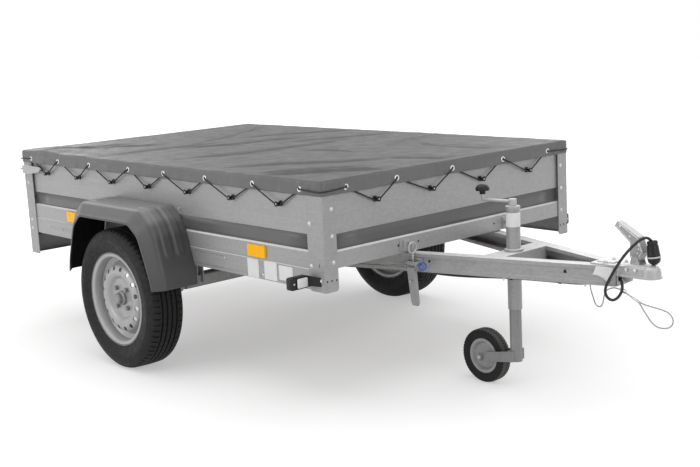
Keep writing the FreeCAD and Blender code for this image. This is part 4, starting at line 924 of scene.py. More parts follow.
@dataclass
class ClothSheet:
    """Coated cloth that hangs in skirts with a round hole at each eyelet."""

    lacing: TarpLacing = field(default_factory=TarpLacing)
    top: float = 779.7
    hem: float = 730.6
    thick: float = 0.9
    hole: float = 5.7
    collar: float = 9.4
    patch: float = 12.0
    step: float = 13.0
    edge_lines: tuple = (1.4, 3.0, 5.0, 7.0, 11.0, 17.0)
    verts: list[Vector] = field(default_factory=list)
    faces: list[tuple[int, ...]] = field(default_factory=list)
    known: dict[Point, int] = field(default_factory=dict)

    def shape(self, p: Vector) -> Vector:
        """Shaped place of a point of the flat cloth."""
        return p

    def patch_lines(self) -> list[float]:
        """Grid lines of an eyelet's patch, from its middle."""
        return [self.patch * k for k in (-1.0, -0.5, 0.0, 0.5, 1.0)]

    def lines(self, low: float, high: float, eyes: Iterable[float],
              near: Sequence[float] = ()) -> list[float]:
        """Grid lines through the eyelets' patches, closer together near both ends."""
        marks = [e + d for e in eyes for d in self.patch_lines()]
        return spaced(low, high, marks + [low + n for n in near] + [high - n for n in near], self.step)

    def heights(self, upper: Sequence[float]) -> list[float]:
        """Heights of a skirt's grid lines, with its own ones near the top."""
        eye_lines = [EYE_Z + d for d in self.patch_lines()]
        return [self.hem, self.hem + 3.0, *eye_lines, 765.0, 769.0, *upper, self.top]

    def vertex(self, p: Point) -> int:
        """Index of the shaped vertex for a point of the flat cloth."""
        key = (round(p[0], 2), round(p[1], 2), round(p[2], 2))
        if key not in self.known:
            self.known[key] = len(self.verts)
            self.verts.append(at(*self.shape(Vector(p))))
        return self.known[key]

    def face(self, corners: Sequence[Point], flip: bool = False) -> None:
        """Adds one face by its flat corners."""
        ids = [self.vertex(c) for c in corners]
        if len(set(ids)) == len(ids):
            self.faces.append(tuple(ids[::-1] if flip else ids))

    def skirt(self, line: Sequence[Flat], zs: Sequence[float], eyes: Sequence[Flat], flip: bool) -> None:
        """Adds a skirt below a row of edge points, with a round hole at each eyelet."""
        for a, b in zip(line, line[1:]):
            mid = ((a[0] + b[0]) / 2, (a[1] + b[1]) / 2)
            holed = any(math.dist(mid, e) < self.patch for e in eyes)
            for z0, z1 in zip(zs, zs[1:]):
                if not holed or abs((z0 + z1) / 2 - EYE_Z) >= self.patch:
                    self.face([(*a, z0), (*b, z0), (*b, z1), (*a, z1)], flip)
        for e in eyes:
            self.ring(e, abs(line[0][0] - line[-1][0]) > 1.0, flip)

    def ring(self, e: Flat, along_x: bool, flip: bool) -> None:
        """Joins the square round an eyelet to its round hole."""
        h = self.patch
        run = [-h + h * k / 2 for k in range(4)]
        square = [(t, -h) for t in run] + [(h, t) for t in run]
        square += [(-u, -v) for u, v in square]
        loops = [square] + [[(r * u / math.hypot(u, v), r * v / math.hypot(u, v)) for u, v in square]
                            for r in (self.collar, self.hole)]
        dx, dy = (1.0, 0.0) if along_x else (0.0, 1.0)
        spots = [[(e[0] + u * dx, e[1] + u * dy, EYE_Z + v) for u, v in loop] for loop in loops]
        for outer, inner in zip(spots, spots[1:]):
            for k in range(len(square)):
                m = (k + 1) % len(square)
                self.face([outer[k], outer[m], inner[m], inner[k]], flip)

    def finished(self, name: str, stands_for: str) -> tuple[Object, float]:
        """Piece made of the cloth, and its area in square metres."""
        obj = piece(name, self.verts, self.faces, Finishes.CLOTH, 60.0)
        settle(obj, Body.BOX, stands_for)
        thicken(obj, "cloth_thickness", self.thick)
        area = sum(polygon.area for polygon in obj.data.polygons)
        log.info("%s, %.3f m2", name, area)
        return obj, area


@dataclass
class TarpSheet(ClothSheet):
    """The tied tarpaulin: one sheet over the box with puckers and folds."""

    rear: float = -963.0
    front: float = 1070.9
    half: float = 628.9
    round: float = 7.0
    size: Flat = (1.362, 2.092)
    humps: tuple = ((-765.0, -560.0, 190.0, 95.0, 13.0), (-430.0, -600.0, 90.0, 40.0, 5.0),
                    (-620.0, -600.0, 60.0, 60.0, -3.0))
    front_gathers: tuple = ((10.0, 0.4, 3.4, 7.0), (34.0, 0.8, 2.6, 7.0), (64.0, 1.4, 2.2, 8.0))
    side_gathers: tuple = ((14.0, 0.6, 3.2, 7.0), (46.0, 0.9, 2.6, 8.0), (84.0, 1.3, 2.0, 9.0))
    rear_gathers: tuple = ((16.0, 0.9, 3.0, 7.0), (52.0, 0.4, 2.2, 8.0))
    folds: tuple = (
        (((447, -540), (586, -369), (729, -241), (840, -60)), 2.4, 26.0),
        (((755, -612), (849, -500), (965, -360), (1050, -290)), 3.6, 24.0),
        (((690, -600), (800, -430), (930, -250)), 2.0, 20.0),
        (((-319, -260), (-169, -41), (-171, 161), (-97, 316)), 2.4, 30.0),
        (((-398, -94), (-510, 161), (-712, 514)), 2.2, 34.0),
        (((268, -70), (464, 0), (603, -32)), 1.6, 16.0),
        (((-760, -450), (-616, -305), (-500, -160)), 2.6, 26.0),
        (((-869, -20), (-700, -90), (-535, -150)), 1.6, 15.0),
        (((544, 362), (655, 295), (915, 296), (1040, 309)), 2.2, 18.0),
        (((518, 160), (440, 398), (385, 615)), 2.2, 26.0),
        (((760, -90), (1001, 7), (1022, 111)), 1.8, 20.0),
        (((-802, -622), (-735, -396), (-690, -200)), 2.6, 36.0),
        (((-378, -600), (-356, -237), (-300, 60)), 2.2, 34.0),
        (((40, -500), (152, -205), (165, 95), (120, 420)), 2.6, 34.0),
        (((180, 560), (60, 330), (-40, 120)), 1.8, 28.0),
        (((-820, 600), (-640, 420), (-420, 330)), 2.0, 30.0),
        (((-120, 610), (-240, 430), (-420, 120)), 1.8, 26.0),
    )
    nicks: tuple = (
        (((-705, -383), (-660, -392), (-616, -405)), 2.2, 9.0), (((128, -162), (82, -91)), 1.8, 8.0),
        (((284, -345), (290, -305)), 1.8, 8.0), (((-40, 60), (10, 110)), 1.6, 8.0),
        (((330, 40), (372, 86)), 1.6, 8.0), (((560, -330), (610, -352)), 1.6, 8.0),
        (((-300, 330), (-250, 350)), 1.5, 9.0), (((720, 180), (760, 230)), 1.6, 9.0),
    )

    def build(self) -> None:
        """Builds the sheet."""
        eyes_x, eyes_y = self.lacing.eyes_along(), self.lacing.eyes_across()
        xs = self.lines(self.rear, self.front, eyes_x, self.edge_lines)
        ys = self.lines(-self.half, self.half, eyes_y, self.edge_lines)
        zs = self.heights([self.top - d for d in (7.0, 5.0, 3.0, 1.4)])
        for x0, x1 in zip(xs, xs[1:]):
            for y0, y1 in zip(ys, ys[1:]):
                self.face([(x0, y0, self.top), (x1, y0, self.top), (x1, y1, self.top), (x0, y1, self.top)])
        for y in (-self.half, self.half):
            self.skirt([(x, y) for x in xs], zs, [(e, y) for e in eyes_x], y > 0)
        self.skirt([(self.front, y) for y in ys], zs, [(self.front, e) for e in eyes_y], False)
        self.skirt([(self.rear, y) for y in ys], zs[-5:], [], True)
        obj, area = self.finished("tied_tarpaulin", "tarpaulin")

    def shape(self, p: Vector) -> Vector:
        """Shaped place of a flat point: rounded edges, then folds, puckers and swell."""
        r = self.round
        q = Vector((min(max(p.x, self.rear + r), self.front - r), min(max(p.y, r - self.half), self.half - r),
                    min(p.z, self.top - r)))
        n = p - q
        n = n.normalized() if n.length > 1e-6 else Vector((0, 0, 1))
        out = q + n * r
        if p.x <= self.rear + r and abs(n.z) > 0.02:
            out = Vector((p.x, out.y, out.z - 0.5 * max(0.0, (self.rear + r - p.x))))
        flat = max(0.0, n.z)
        out.z += self.relief(p.x, p.y) * flat
        down = min(1.0, max(0.0, (self.top - p.z) / (self.top - self.hem)))
        if down > 0.0 or flat < 0.99:
            out += Vector((n.x, n.y, 0.0)) * self.swell(p, n, down)
        return out

    def relief(self, x: float, y: float) -> float:
        """Height of the top cloth over its edges, in millimetres."""
        inset = min(self.half - abs(y), self.front - x, x - self.rear)
        open_ = 1.0 - math.exp(-max(0.0, inset) / 60.0)
        h = 2.6 * noise.noise(Vector((x / 420.0, y / 260.0, 1.7))) * open_
        h += 1.0 * noise.noise(Vector((x / 120.0 + y / 300.0, y / 90.0, 4.2))) * open_
        for line, height, width in self.folds:
            d, t = line_distance(x, y, line)
            if d < width * 3.5:
                fade = min(1.0, 4.0 * t + 0.25, 4.0 * (1.0 - t) + 0.1)
                h += 2.1 * height * fade * (bell(d, width * 0.42) - 0.45 * bell(d - width * 1.1, width * 0.7))
        for line, height, width in self.nicks:
            d, t = line_distance(x, y, line)
            if d < width * 3.0:
                h += height * (bell(d, width * 0.6) - 0.5 * bell(d - width * 1.2, width * 0.6))
        for hump_x, hump_y, length, width, rise in self.humps:
            h += rise * bell(x - hump_x, length) * bell(y - hump_y, width)
        h += self.edge_ripple(x, y, inset)
        return max(h, -0.6 - 0.15 * max(0.0, inset - 48.0))

    def edge_ripple(self, x: float, y: float, inset: float) -> float:
        """Small puckers where the eyelets pull on the top edge, and a wavy hemline between them."""
        if inset > 150.0:
            return 0.0
        near_side = self.half - abs(y) < self.front - x
        along = x if near_side else y
        eyes = self.lacing.eyes_along() if near_side else self.lacing.eyes_across()
        out = 0.0
        for e in eyes:
            d = along - e
            if abs(d) < 70.0:
                out += 0.9 * bell(d, 30.0) * math.cos(d / 4.2) * math.exp(-inset / 45.0)
                out -= 1.2 * bell(d, 24.0) * math.exp(-inset / 60.0)
        wave = noise.noise(Vector((along / 38.0, 7.7 if y < 0 else 2.1, 0.4)))
        return out + 1.3 * wave * math.exp(-inset / 26.0)

    def swell(self, p: Vector, n: Vector, down: float) -> float:
        """Outward swell of a skirt in millimetres; cord legs outside hold it back."""
        on_front = abs(n.x) > abs(n.y)
        lace = self.lacing
        if on_front:
            along, eyes, hooks, legs = p.y, lace.eyes_across(), lace.hooks_across(), lace.end_legs
        else:
            along, eyes, hooks, legs = p.x, lace.eyes_along(), lace.hooks_along(), lace.side_legs
        seed = 3.1 if on_front else (5.2 if p.y < 0 else 8.4)
        room, puff = 0.5, 0.0
        for k in range(len(eyes) - 1):
            if eyes[k] <= along <= eyes[k + 1]:
                u = (along - eyes[k]) / (eyes[k + 1] - eyes[k])
                held = legs[k][0] if along < hooks[k] else legs[k][1]
                room = 0.6 if held else 4.5
                puff = math.sin(math.pi * u) ** 1.4
        ripple = noise.noise(Vector((along / 45.0, p.z / 60.0, seed)))
        fine = noise.noise(Vector((along / 15.0, p.z / 30.0, seed + 4.0)))
        out = room * puff * down + (0.9 * ripple + 0.4 * fine) * min(1.0, 2.5 * down) * (0.4 + 0.6 * puff)
        for e in eyes:
            d, rise = along - e, p.z - EYE_Z
            far = math.hypot(d, rise)
            if far < 60.0:
                spread = math.atan2(d, rise + 1e-6)
                hold = min(1.0, max(0.0, (far - 9.0) / 10.0))
                hold *= 1.0 if rise > 0 else 0.4
                out += 1.1 * math.cos(7.0 * spread) * math.exp(-far / 26.0) * hold
                out -= 0.7 * bell(far, 22.0)
        out += self.corner_folds(p, on_front)
        free = 1.0 + 3.0 * min(1.0, abs(p.z - EYE_Z + 3.0) / 12.0)
        return max(-0.6, min(out, free if room < 1.0 else 5.0))

    def corner_folds(self, p: Vector, on_front: bool) -> float:
        """Gathered cloth at the two front corners and the rear ones."""
        fall = self.top - p.z
        ends = ([(self.half - abs(p.y), self.front_gathers)] if on_front else
                [(self.front - p.x, self.side_gathers), (p.x - self.rear, self.rear_gathers)])
        out = sum(depth * bell(d - start - lean * fall, width)
                  for d, gathers in ends for start, lean, depth, width in gathers)
        return out * min(1.0, max(0.0, fall / 8.0)) * (1.0 if p.y < 0 else 0.8)


@dataclass
class RearSkirtSheet(ClothSheet):
    """The tarpaulin's tail that hangs over the tailgate."""

    top: float = TAIL_TOP
    hem: float = 730.8
    size: Flat = (1.262, 0.049)

    def build(self) -> None:
        """Builds the tail."""
        eyes = self.lacing.eyes_across()
        line = [(TAIL_X, y) for y in self.lines(-HALF_W, HALF_W, eyes)]
        self.skirt(line, self.heights([773.0]), [(TAIL_X, e) for e in eyes], True)
        obj, area = self.finished("rear_tail_of_tarp", "rear_skirt")
        fold_with_gate(obj)
        area = min(area, math.prod(self.size))

    def shape(self, p: Vector) -> Vector:
        """Place of a point with a slight outward swell, held back at the eyelets."""
        down = (self.top - p.z) / (self.top - self.hem)
        out = 0.5 * noise.noise(Vector((p.y / 45.0, p.z / 60.0, 6.6))) * min(1.0, 2.0 * down)
        for e in self.lacing.eyes_across():
            out -= 0.4 * bell(math.hypot(p.y - e, p.z - EYE_Z), 22.0)
        return Vector((p.x - min(out, 0.7), p.y, p.z))


@dataclass
class Eyelets:
    """Rolled metal rings in the tarpaulin's holes."""

    lacing: TarpLacing = field(default_factory=TarpLacing)
    profile: tuple = ((5.2, -1.1), (5.2, 0.5), (6.0, 1.15), (7.6, 1.35), (9.4, 1.0), (10.5, 0.25),
                      (10.6, -0.2), (9.8, -1.1))
    steps: int = 28
    proud: float = 1.2
    tail_proud: float = 1.6

    def build(self) -> None:
        """Adds the rings of the sheet and of its tail."""
        along, across = self.lacing.eyes_along(), self.lacing.eyes_across()
        sides = [((e, s * (HALF_W + self.proud), EYE_Z), (0, s, 0)) for e in along for s in RIGHT_LEFT]
        front = [((FRONT_X + self.proud, e, EYE_Z), (1, 0, 0)) for e in across]
        rear = [((REAR_X - self.tail_proud, e, EYE_Z), (-1, 0, 0)) for e in across]
        self.rings("tarp_eyelets", sides + front)
        fold_with_gate(self.rings("rear_tail_eyelets", rear))

    def rings(self, name: str, spots: Sequence[tuple[Point, Point]]) -> Object:
        """One piece with a ring at each spot."""
        form = Form()
        for centre, axis in spots:
            form.lathe(self.profile, centre, axis, self.steps, closed=True)
        log.info("%s, %d", name, len(spots))
        return form.done(name, Finishes.BRASS, Body.BOX, "zinc_bright")


@dataclass
class DrawbarLines:
    """Lead to the plug and the steel safety cable."""

    lead_radius: float = 4.5
    cable_radius: float = 2.0
    lead_front: tuple = (
        (1622, -36, 412), (1662, -12, 416), (1697, 3, 436), (1732, -10, 446), (1763, -20, 446),
        (1781, -33, 436), (1788, -42, 414), (1776, -48, 390), (1757, -52, 379), (1739, -55, 388),
        (1733, -57, 408), (1741, -57, 432), (1760, -56, 464), (1781, -54, 498), (1803, -50, 530),
        (1829, -41, 561), (1847, -30, 579), (1863, -13, 586))
    plug_end: Point = (1867.6, 0, 567.2)
    cable: tuple = (
        (1600, 46, 418.8), (1613, 30, 386), (1628, 26, 356), (1650, 8, 338), (1673, 0, 335), (1688, -6, 348),
        (1698, -14, 374), (1712, -24, 398), (1734, -30, 412), (1762, -34, 418), (1791, -34, 407),
        (1820, -34, 394), (1842, -34, 384), (1863, -34, 378), (1895, -34, 375), (1930, -34, 371),
        (1951, -34, 364), (1964, -34, 345), (1956, -34, 324), (1933, -34, 314), (1899, -34, 315),
        (1870, -34, 344), (1844, -34, 380))
    plug_base: Point = (1876.0, 0.0, 498.7)
    plug_tilt: float = -7.0
    ferrule: tuple = ((1818.0, -34.0, 395.2), (1844.0, -34.0, 382.8))
    eye: Point = (1786.0, -34.0, 411.5)
    grip: tuple = ((-1.7, -0.2), (-1.0, 0.9), (1.0, 0.9), (1.7, -0.2))
    band_profile: tuple = (
        (19.2, 20.6), (21.2, 21.0), (21.45, 22.0), (21.4, 24.6), (21.0, 25.4), (19.2, 25.8))
    plug_profile: tuple = (
        (0.0, 0.2), (8.9, 0.2), (8.9, 3.0), (13.0, 3.6), (16.6, 7.0), (18.9, 12.0), (19.9, 17.5),
        (19.9, 20.4), (19.4, 26.0), (20.3, 27.2), (20.2, 30.5), (19.3, 31.5), (18.3, 47.0), (17.6, 55.0),
        (17.0, 59.6), (15.8, 60.4), (15.6, 62.0), (16.3, 62.8), (16.4, 70.5), (15.6, 72.6), (14.2, 73.6),
        (12.6, 73.4), (11.8, 71.6), (10.6, 71.2), (9.8, 72.0), (8.8, 71.8), (7.4, 69.6), (6.4, 67.0),
        (4.6, 66.4), (0.0, 66.4))

    def lead_route(self) -> list[Vector]:
        """Lead under the right beam, through the coupling and over into the plug."""
        pts = []
        for k in range(10):
            x = 700.0 + 94.0 * k
            sag = (6.0 if 1120 < x < 1300 else 0.0) + 1.4 * (k % 2)
            pts.append((x, 35.0 - beam_face(x) + 2.0 * (k % 2), BEAM_LOW - 0.3 - self.lead_radius - sag))
        return [at(*q) for q in (*pts, *self.lead_front, self.plug_end)]

    def build(self) -> None:
        """Adds the lead with its plug and the cable with its fittings."""
        lead = Cord("plug_lead", "lead", Body.CHASSIS, self.lead_radius, Finishes.LEAD, "cord_black", "plug",
                    "medium", "hanging")
        lead.build(self.lead_route(), [self.plug(), self.plug_band()])
        cable = Cord("breakaway_cable", "safety_cable", Body.CHASSIS, self.cable_radius, Finishes.WIRE,
                     "steel_cable", "fitting", "stiff", "hanging")
        cable.build([at(*q) for q in self.cable], [self.cable_fittings()])

    def plug_axis(self) -> Vector:
        """Direction in which the plug stands."""
        lean = math.radians(self.plug_tilt)
        return Vector((math.sin(lean), 0.0, math.cos(lean)))

    def plug(self) -> Object:
        """Moulded plug with a collar and two raised grip ribs."""
        form = Form()
        axis, base = self.plug_axis(), at(*self.plug_base)
        form.lathe(self.plug_profile, self.plug_base, axis, 48)
        across = Vector((0.62, -0.78, 0.0)).normalized()
        side = axis.cross(across).normalized()
        for first in (-0.62, 0.62):
            rows = []
            for t in (k / 8.0 for k in range(9)):
                turn, mid = first * (1.0 - t), 49.0 - 11.0 * t
                out = across * math.cos(turn) + side * math.sin(turn)
                wide = 18.0 + (48.0 - mid) * 0.09
                rows.append([base + axis * ((mid + h) / 1000.0) + out * ((wide + r) / 1000.0)
                             for h, r in self.grip])
            form.grid(rows)
        return form.done("moulded_plug", Finishes.BLACK, Body.CHASSIS, "black_plastic", "plug", 40.0)

    def plug_band(self) -> Object:
        """Pale sealing ring between the plug's two halves."""
        form = Form()
        form.lathe(self.band_profile, self.plug_base, self.plug_axis(), 48, closed=True)
        return form.done("plug_seal", Finishes.SEAL, Body.CHASSIS, "black_plastic")

    def cable_fittings(self) -> Object:
        """Pressed ferrule and wire loop of the safety cable."""
        form = Form()
        a, b = Vector(self.ferrule[0]), Vector(self.ferrule[1])
        along, run = (b - a).normalized(), (b - a).length
        form.lathe(((0.0, 0.0), (3.4, 0.2), (4.6, 2.0), (4.3, run * 0.5), (4.6, run - 2.0), (3.4, run - 0.2),
                    (0.0, run)), a, along, 14)
        across = Vector((0.0, 1.0, 0.0))
        up = across.cross(along).normalized()
        rows = []
        for t in (*angles(28), 0.0):
            out = (along * math.cos(t) + up * math.sin(t)).normalized()
            centre = Vector(self.eye) + along * (13.0 * math.cos(t)) + up * (5.4 * math.sin(t))
            rows.append([at(*(centre + out * (1.5 * math.cos(u)) + across * (1.5 * math.sin(u))))
                         for u in (*angles(8), 0.0)])
        form.grid(rows)
        return form.done("cable_fittings", Finishes.BOLT, Body.CHASSIS, "steel_cable")


def grooved_tyre(name: str, line: Sequence[Point], centre: Point, pitches: int, cuts: Sequence[float],
                 lean: Callable[[float, float], float], finish: Finish) -> Object:
    """Tyre whose cross grooves repeat round it.

    Args:
        name: Piece name.
        line: Radius, distance across and depth of the cross groove, from one bead to the other.
        centre: Centre of the tyre in millimetres.
        pitches: Number of grooves round the tyre.
        cuts: Where a groove starts, reaches its depth, leaves it and ends, in shares of a pitch.
        lean: Shift of a point along the tread, in shares of a pitch, by its radius and distance across.
        finish: Finish of the rubber.

    Returns:
        The tyre object.
    """
    verts, faces = [], []
    middle = at(*centre)
    turns = [(k + cut, f in (1, 2)) for k in range(pitches) for f, cut in enumerate(cuts)]
    for turn, grooved in turns:
        for r, w, depth in line:
            a = 2 * math.pi * (turn + lean(r, w)) / pitches
            reach = (r - (depth if grooved else 0.0)) / 1000.0
            verts.append(middle + Vector((math.cos(a) * reach, w / 1000.0, math.sin(a) * reach)))
    n = len(line)
    for i in range(len(turns)):
        j = (i + 1) % len(turns)
        faces += [(i * n + m, j * n + m, j * n + m + 1, i * n + m + 1) for m in range(n - 1)]
    log.info("%s, %d faces", name, len(faces))
    return piece(name, verts, faces, finish, 32.0)


@dataclass
class RoadTyre:
    """Road tyre with grooved tread and moulded side rings."""

    node: str
    body: Body
    y: float
    radius: float = WHEEL_R
    pitches: int = 70
    cuts: tuple = (0.0, 0.035, 0.20, 0.235)
    grooves: tuple = (-31.0, -10.5, 10.5, 31.0)
    groove_half: float = 2.9
    groove_depth: float = 6.0
    shoulder: float = 39.0
    side_line: tuple = (
        (166.6, 54.0), (168.7, 57.0), (172.5, 59.6), (176.5, 61.6), (178.3, 63.4), (180.5, 63.2),
        (183.0, 62.2), (190.0, 64.6), (197.0, 67.2), (205.0, 70.2), (213.0, 73.0), (221.0, 75.2),
        (228.0, 75.9), (231.0, 76.4), (233.5, 76.4), (235.5, 75.3), (242.0, 74.0), (249.0, 71.2),
        (255.0, 68.2), (260.0, 65.2))

    def build(self) -> None:
        """Builds the tyre."""
        line = [(r, -w, 0.0) for r, w in self.side_line] + self.tread()
        line += [(r, w, 0.0) for r, w in self.side_line[::-1]]
        name, centre = self.node.replace("tyre", "road_tyre"), (0.0, self.y, self.radius)
        obj = grooved_tyre(name, line, centre, self.pitches, self.cuts, self.lean, Finishes.TYRE)
        settle(obj, self.body, self.node)

    def lean(self, r: float, w: float) -> float:
        """Slant of the cross grooves on the tread, in shares of a pitch."""
        return 0.22 * abs(w) / 60.0 if abs(w) < 66 and r > 255 else 0.0

    def tread(self) -> list[Point]:
        """Points (radius, across, depth of the cross grooves) over the tread."""
        h, e = self.groove_half, 0.7
        marks = {-62.0, -58.0, -50.0, -self.shoulder - 1.2, -self.shoulder, 0.0, self.shoulder,
                 self.shoulder + 1.2, 50.0, 58.0, 62.0, -21.0, 21.0}
        for g in self.grooves:
            marks |= {g - h - e, g - h + e, g + h - e, g + h + e}
        out = []
        for w in sorted(marks):
            r = self.crown(w)
            if any(abs(w - g) < h for g in self.grooves):
                r -= self.groove_depth
            cross = 0.0
            if abs(w) > self.shoulder + 0.6:
                cross = 4.8 if abs(w) < 59 else 2.6
            elif abs(w) < 1.0 or abs(abs(w) - 21.0) < 1.0:
                cross = 1.6
            out.append((r, w, cross))
        return out

    def crown(self, w: float) -> float:
        """Radius of the tread's face at a distance from its middle."""
        a = abs(w)
        if a <= 50.0:
            return self.radius - 0.0005 * a * a
        return self.radius - 1.25 - 0.045 * (a - 50.0) ** 2


@dataclass
class JockeyTyre:
    """Small solid tyre with a fine cross tread, set off by half a pitch between its two sides."""

    centre: Point = (1200.0, JOCKEY_Y, 95.5)
    teeth: int = 54
    cuts: tuple = (0.0, 0.08, 0.36, 0.44)
    half: tuple = ((62.4, 17.9, 0.0), (70.0, 19.2, 0.0), (72.0, 18.8, 0.0), (81.5, 20.2, 0.0),
                   (88.5, 20.9, 0.0), (92.5, 20.0, 1.4), (94.7, 17.6, 2.2), (95.5, 14.0, 2.2),
                   (95.5, 2.6, 2.2), (93.3, 1.9, 0.0))

    def build(self) -> None:
        """Builds the tyre."""
        line = [(r, -w, depth) for r, w, depth in self.half] + list(self.half[::-1])
        obj = grooved_tyre("jockey_wheel_tyre", line, self.centre, self.teeth, self.cuts,
                           lambda r, w: 0.5 if w > 0 else 0.0, Finishes.SOLID)
        settle(obj, Body.JOCKEY, "jockey_tyre")


@dataclass
class Mudguards:
    """Moulded mudguards with soft edges, two raised ribs on each slope and a turned lip."""

    wall: float = 624.2
    edge: float = 767.0
    bend: float = 16.0
    lip: float = 797.0
    thick: float = 3.0
    ribs: tuple = (42.0, 92.0)
    rib_half: float = 15.0
    rib_rise: float = 3.0
    rib_from: float = 150.0
    rib_foot: float = 461.0
    crown: tuple = ((-340, 350), (-329, 415), (-291, 543), (-266, 590), (-210, 634),
                    (210, 634), (266, 590), (291, 543), (329, 415), (340, 350))
    lower: tuple = ((-297, 347), (-287, 398), (-249, 500), (-233, 538), (-184, 580),
                    (166, 581), (225, 541), (243, 500), (284, 398), (297, 347))
    counts: tuple = (8, 15, 8, 9, 42, 9, 8, 15, 8)
    turned: float = 1.22

    def rounded(self, line: Sequence[Flat]) -> list[Flat]:
        """Line with soft corners and even steps; the same count for both lines."""
        out, last = [line[0]], len(line) - 1
        for k, count in enumerate(self.counts, 1):
            a, b = line[k - 1], line[k]
            start = self.cut(line, k - 1, b) if k > 1 else a
            end = self.cut(line, k, a) if k < last else b
            out += [(start[0] + (end[0] - start[0]) * t, start[1] + (end[1] - start[1]) * t)
                    for t in (m / count for m in range(1, count + 1))]
            if k < last:
                out += soft_corner(end, b, self.cut(line, k, line[k + 1]), 5)
        return out

    def cut(self, line: Sequence[Flat], k: int, toward: Flat) -> Flat:
        """Point where the rounding of corner k ends on the way to a neighbour."""
        p = line[k]
        reach = min(0.42 * math.dist(p, line[k - 1]), 0.42 * math.dist(p, line[k + 1]), 17.0)
        t = reach / math.dist(p, toward)
        return (p[0] + (toward[0] - p[0]) * t, p[1] + (toward[1] - p[1]) * t)

    def stations(self) -> list[Flat]:
        """Distance from the middle and share of the way from crown to lip, across the guard."""
        edge, lip, half = self.edge, self.lip, self.rib_half
        marks = [HALF_W + rib + d for rib in self.ribs
                 for d in (-half - 1.5, 1.5 - half, 3.5 - half, 0.0, half - 3.5, half - 1.5, half + 1.5)]
        out = [(y, 0.0) for y in spaced(self.wall, edge - self.bend, marks, 9.0)]
        out += soft_corner(out[-1], (edge, 0.0), (edge + 6.0, 0.2), 7)
        out += [(edge + (lip - edge) * t, t) for t in (0.2 + 0.11 * m for m in range(1, 7))]
        out += soft_corner(out[-1], (lip, 1.0), (lip + 1.4, 1.02), 5)
        return out + [(lip + 2.2, 1.06), (lip + 2.6, 1.16), (lip + 2.2, self.turned)]

    def rib(self, y: float, x: float, z: float) -> float:
        """Rise of the ribs at a place of the crown."""
        rise, start = 0.0, min(1.0, max(0.0, (abs(x) - self.rib_from) / 5.0))
        for rib in self.ribs:
            d = abs(y - HALF_W - rib)
            across = min(1.0, max(0.0, (self.rib_half + 1.5 - d) / 3.0))
            foot = 12.0 * (1.0 - math.sqrt(max(0.0, 1.0 - (min(d, self.rib_half) / 16.0) ** 2)))
            rise = max(rise, across * start * min(1.0, max(0.0, (z - self.rib_foot - foot) / 5.0)))
        return rise * self.rib_rise

    def build(self) -> None:
        """Builds both guards as one piece."""
        top, low, rows = self.rounded(self.crown), self.rounded(self.lower), self.stations()
        verts, faces, n = [], [], len(rows)
        for side in RIGHT_LEFT:
            base = len(verts)
            for k, (c, l) in enumerate(zip(top, low)):
                before, after = top[max(0, k - 1)], top[min(len(top) - 1, k + 1)]
                run = math.dist(before, after)
                nx, nz = (before[1] - after[1]) / run, (after[0] - before[0]) / run
                for y, t in rows:
                    lift = self.rib(y, *c) if t == 0.0 else 0.0
                    share = t / self.turned
                    verts.append(at(c[0] + (l[0] - c[0]) * share + nx * lift, side * y,
                                    c[1] + (l[1] - c[1]) * share + nz * lift))
            for i in range(len(top) - 1):
                for a in range(base + i * n, base + i * n + n - 1):
                    quad = (a, a + 1, a + n + 1, a + n)
                    faces.append(quad if side > 0 else quad[::-1])
        # The first faces take the darker copy of the guard plastic as painted shade inside the guard; the
        # faces the thickening adds, and the rim, take the guard plastic.
        obj = piece("moulded_mudguards", verts, faces, Finishes.GUARD_INNER_SHADE, 50.0)
        obj.data.materials.append(Finishes.GUARD.material())
        outside = thicken(obj, "wall", self.thick, 1.0)
        outside.material_offset = outside.material_offset_rim = 1
        bevel(obj, 0.8, 50.0)
        settle(obj, Body.BOX, "mudguards")
        log.info("mudguards, %d faces", len(faces))


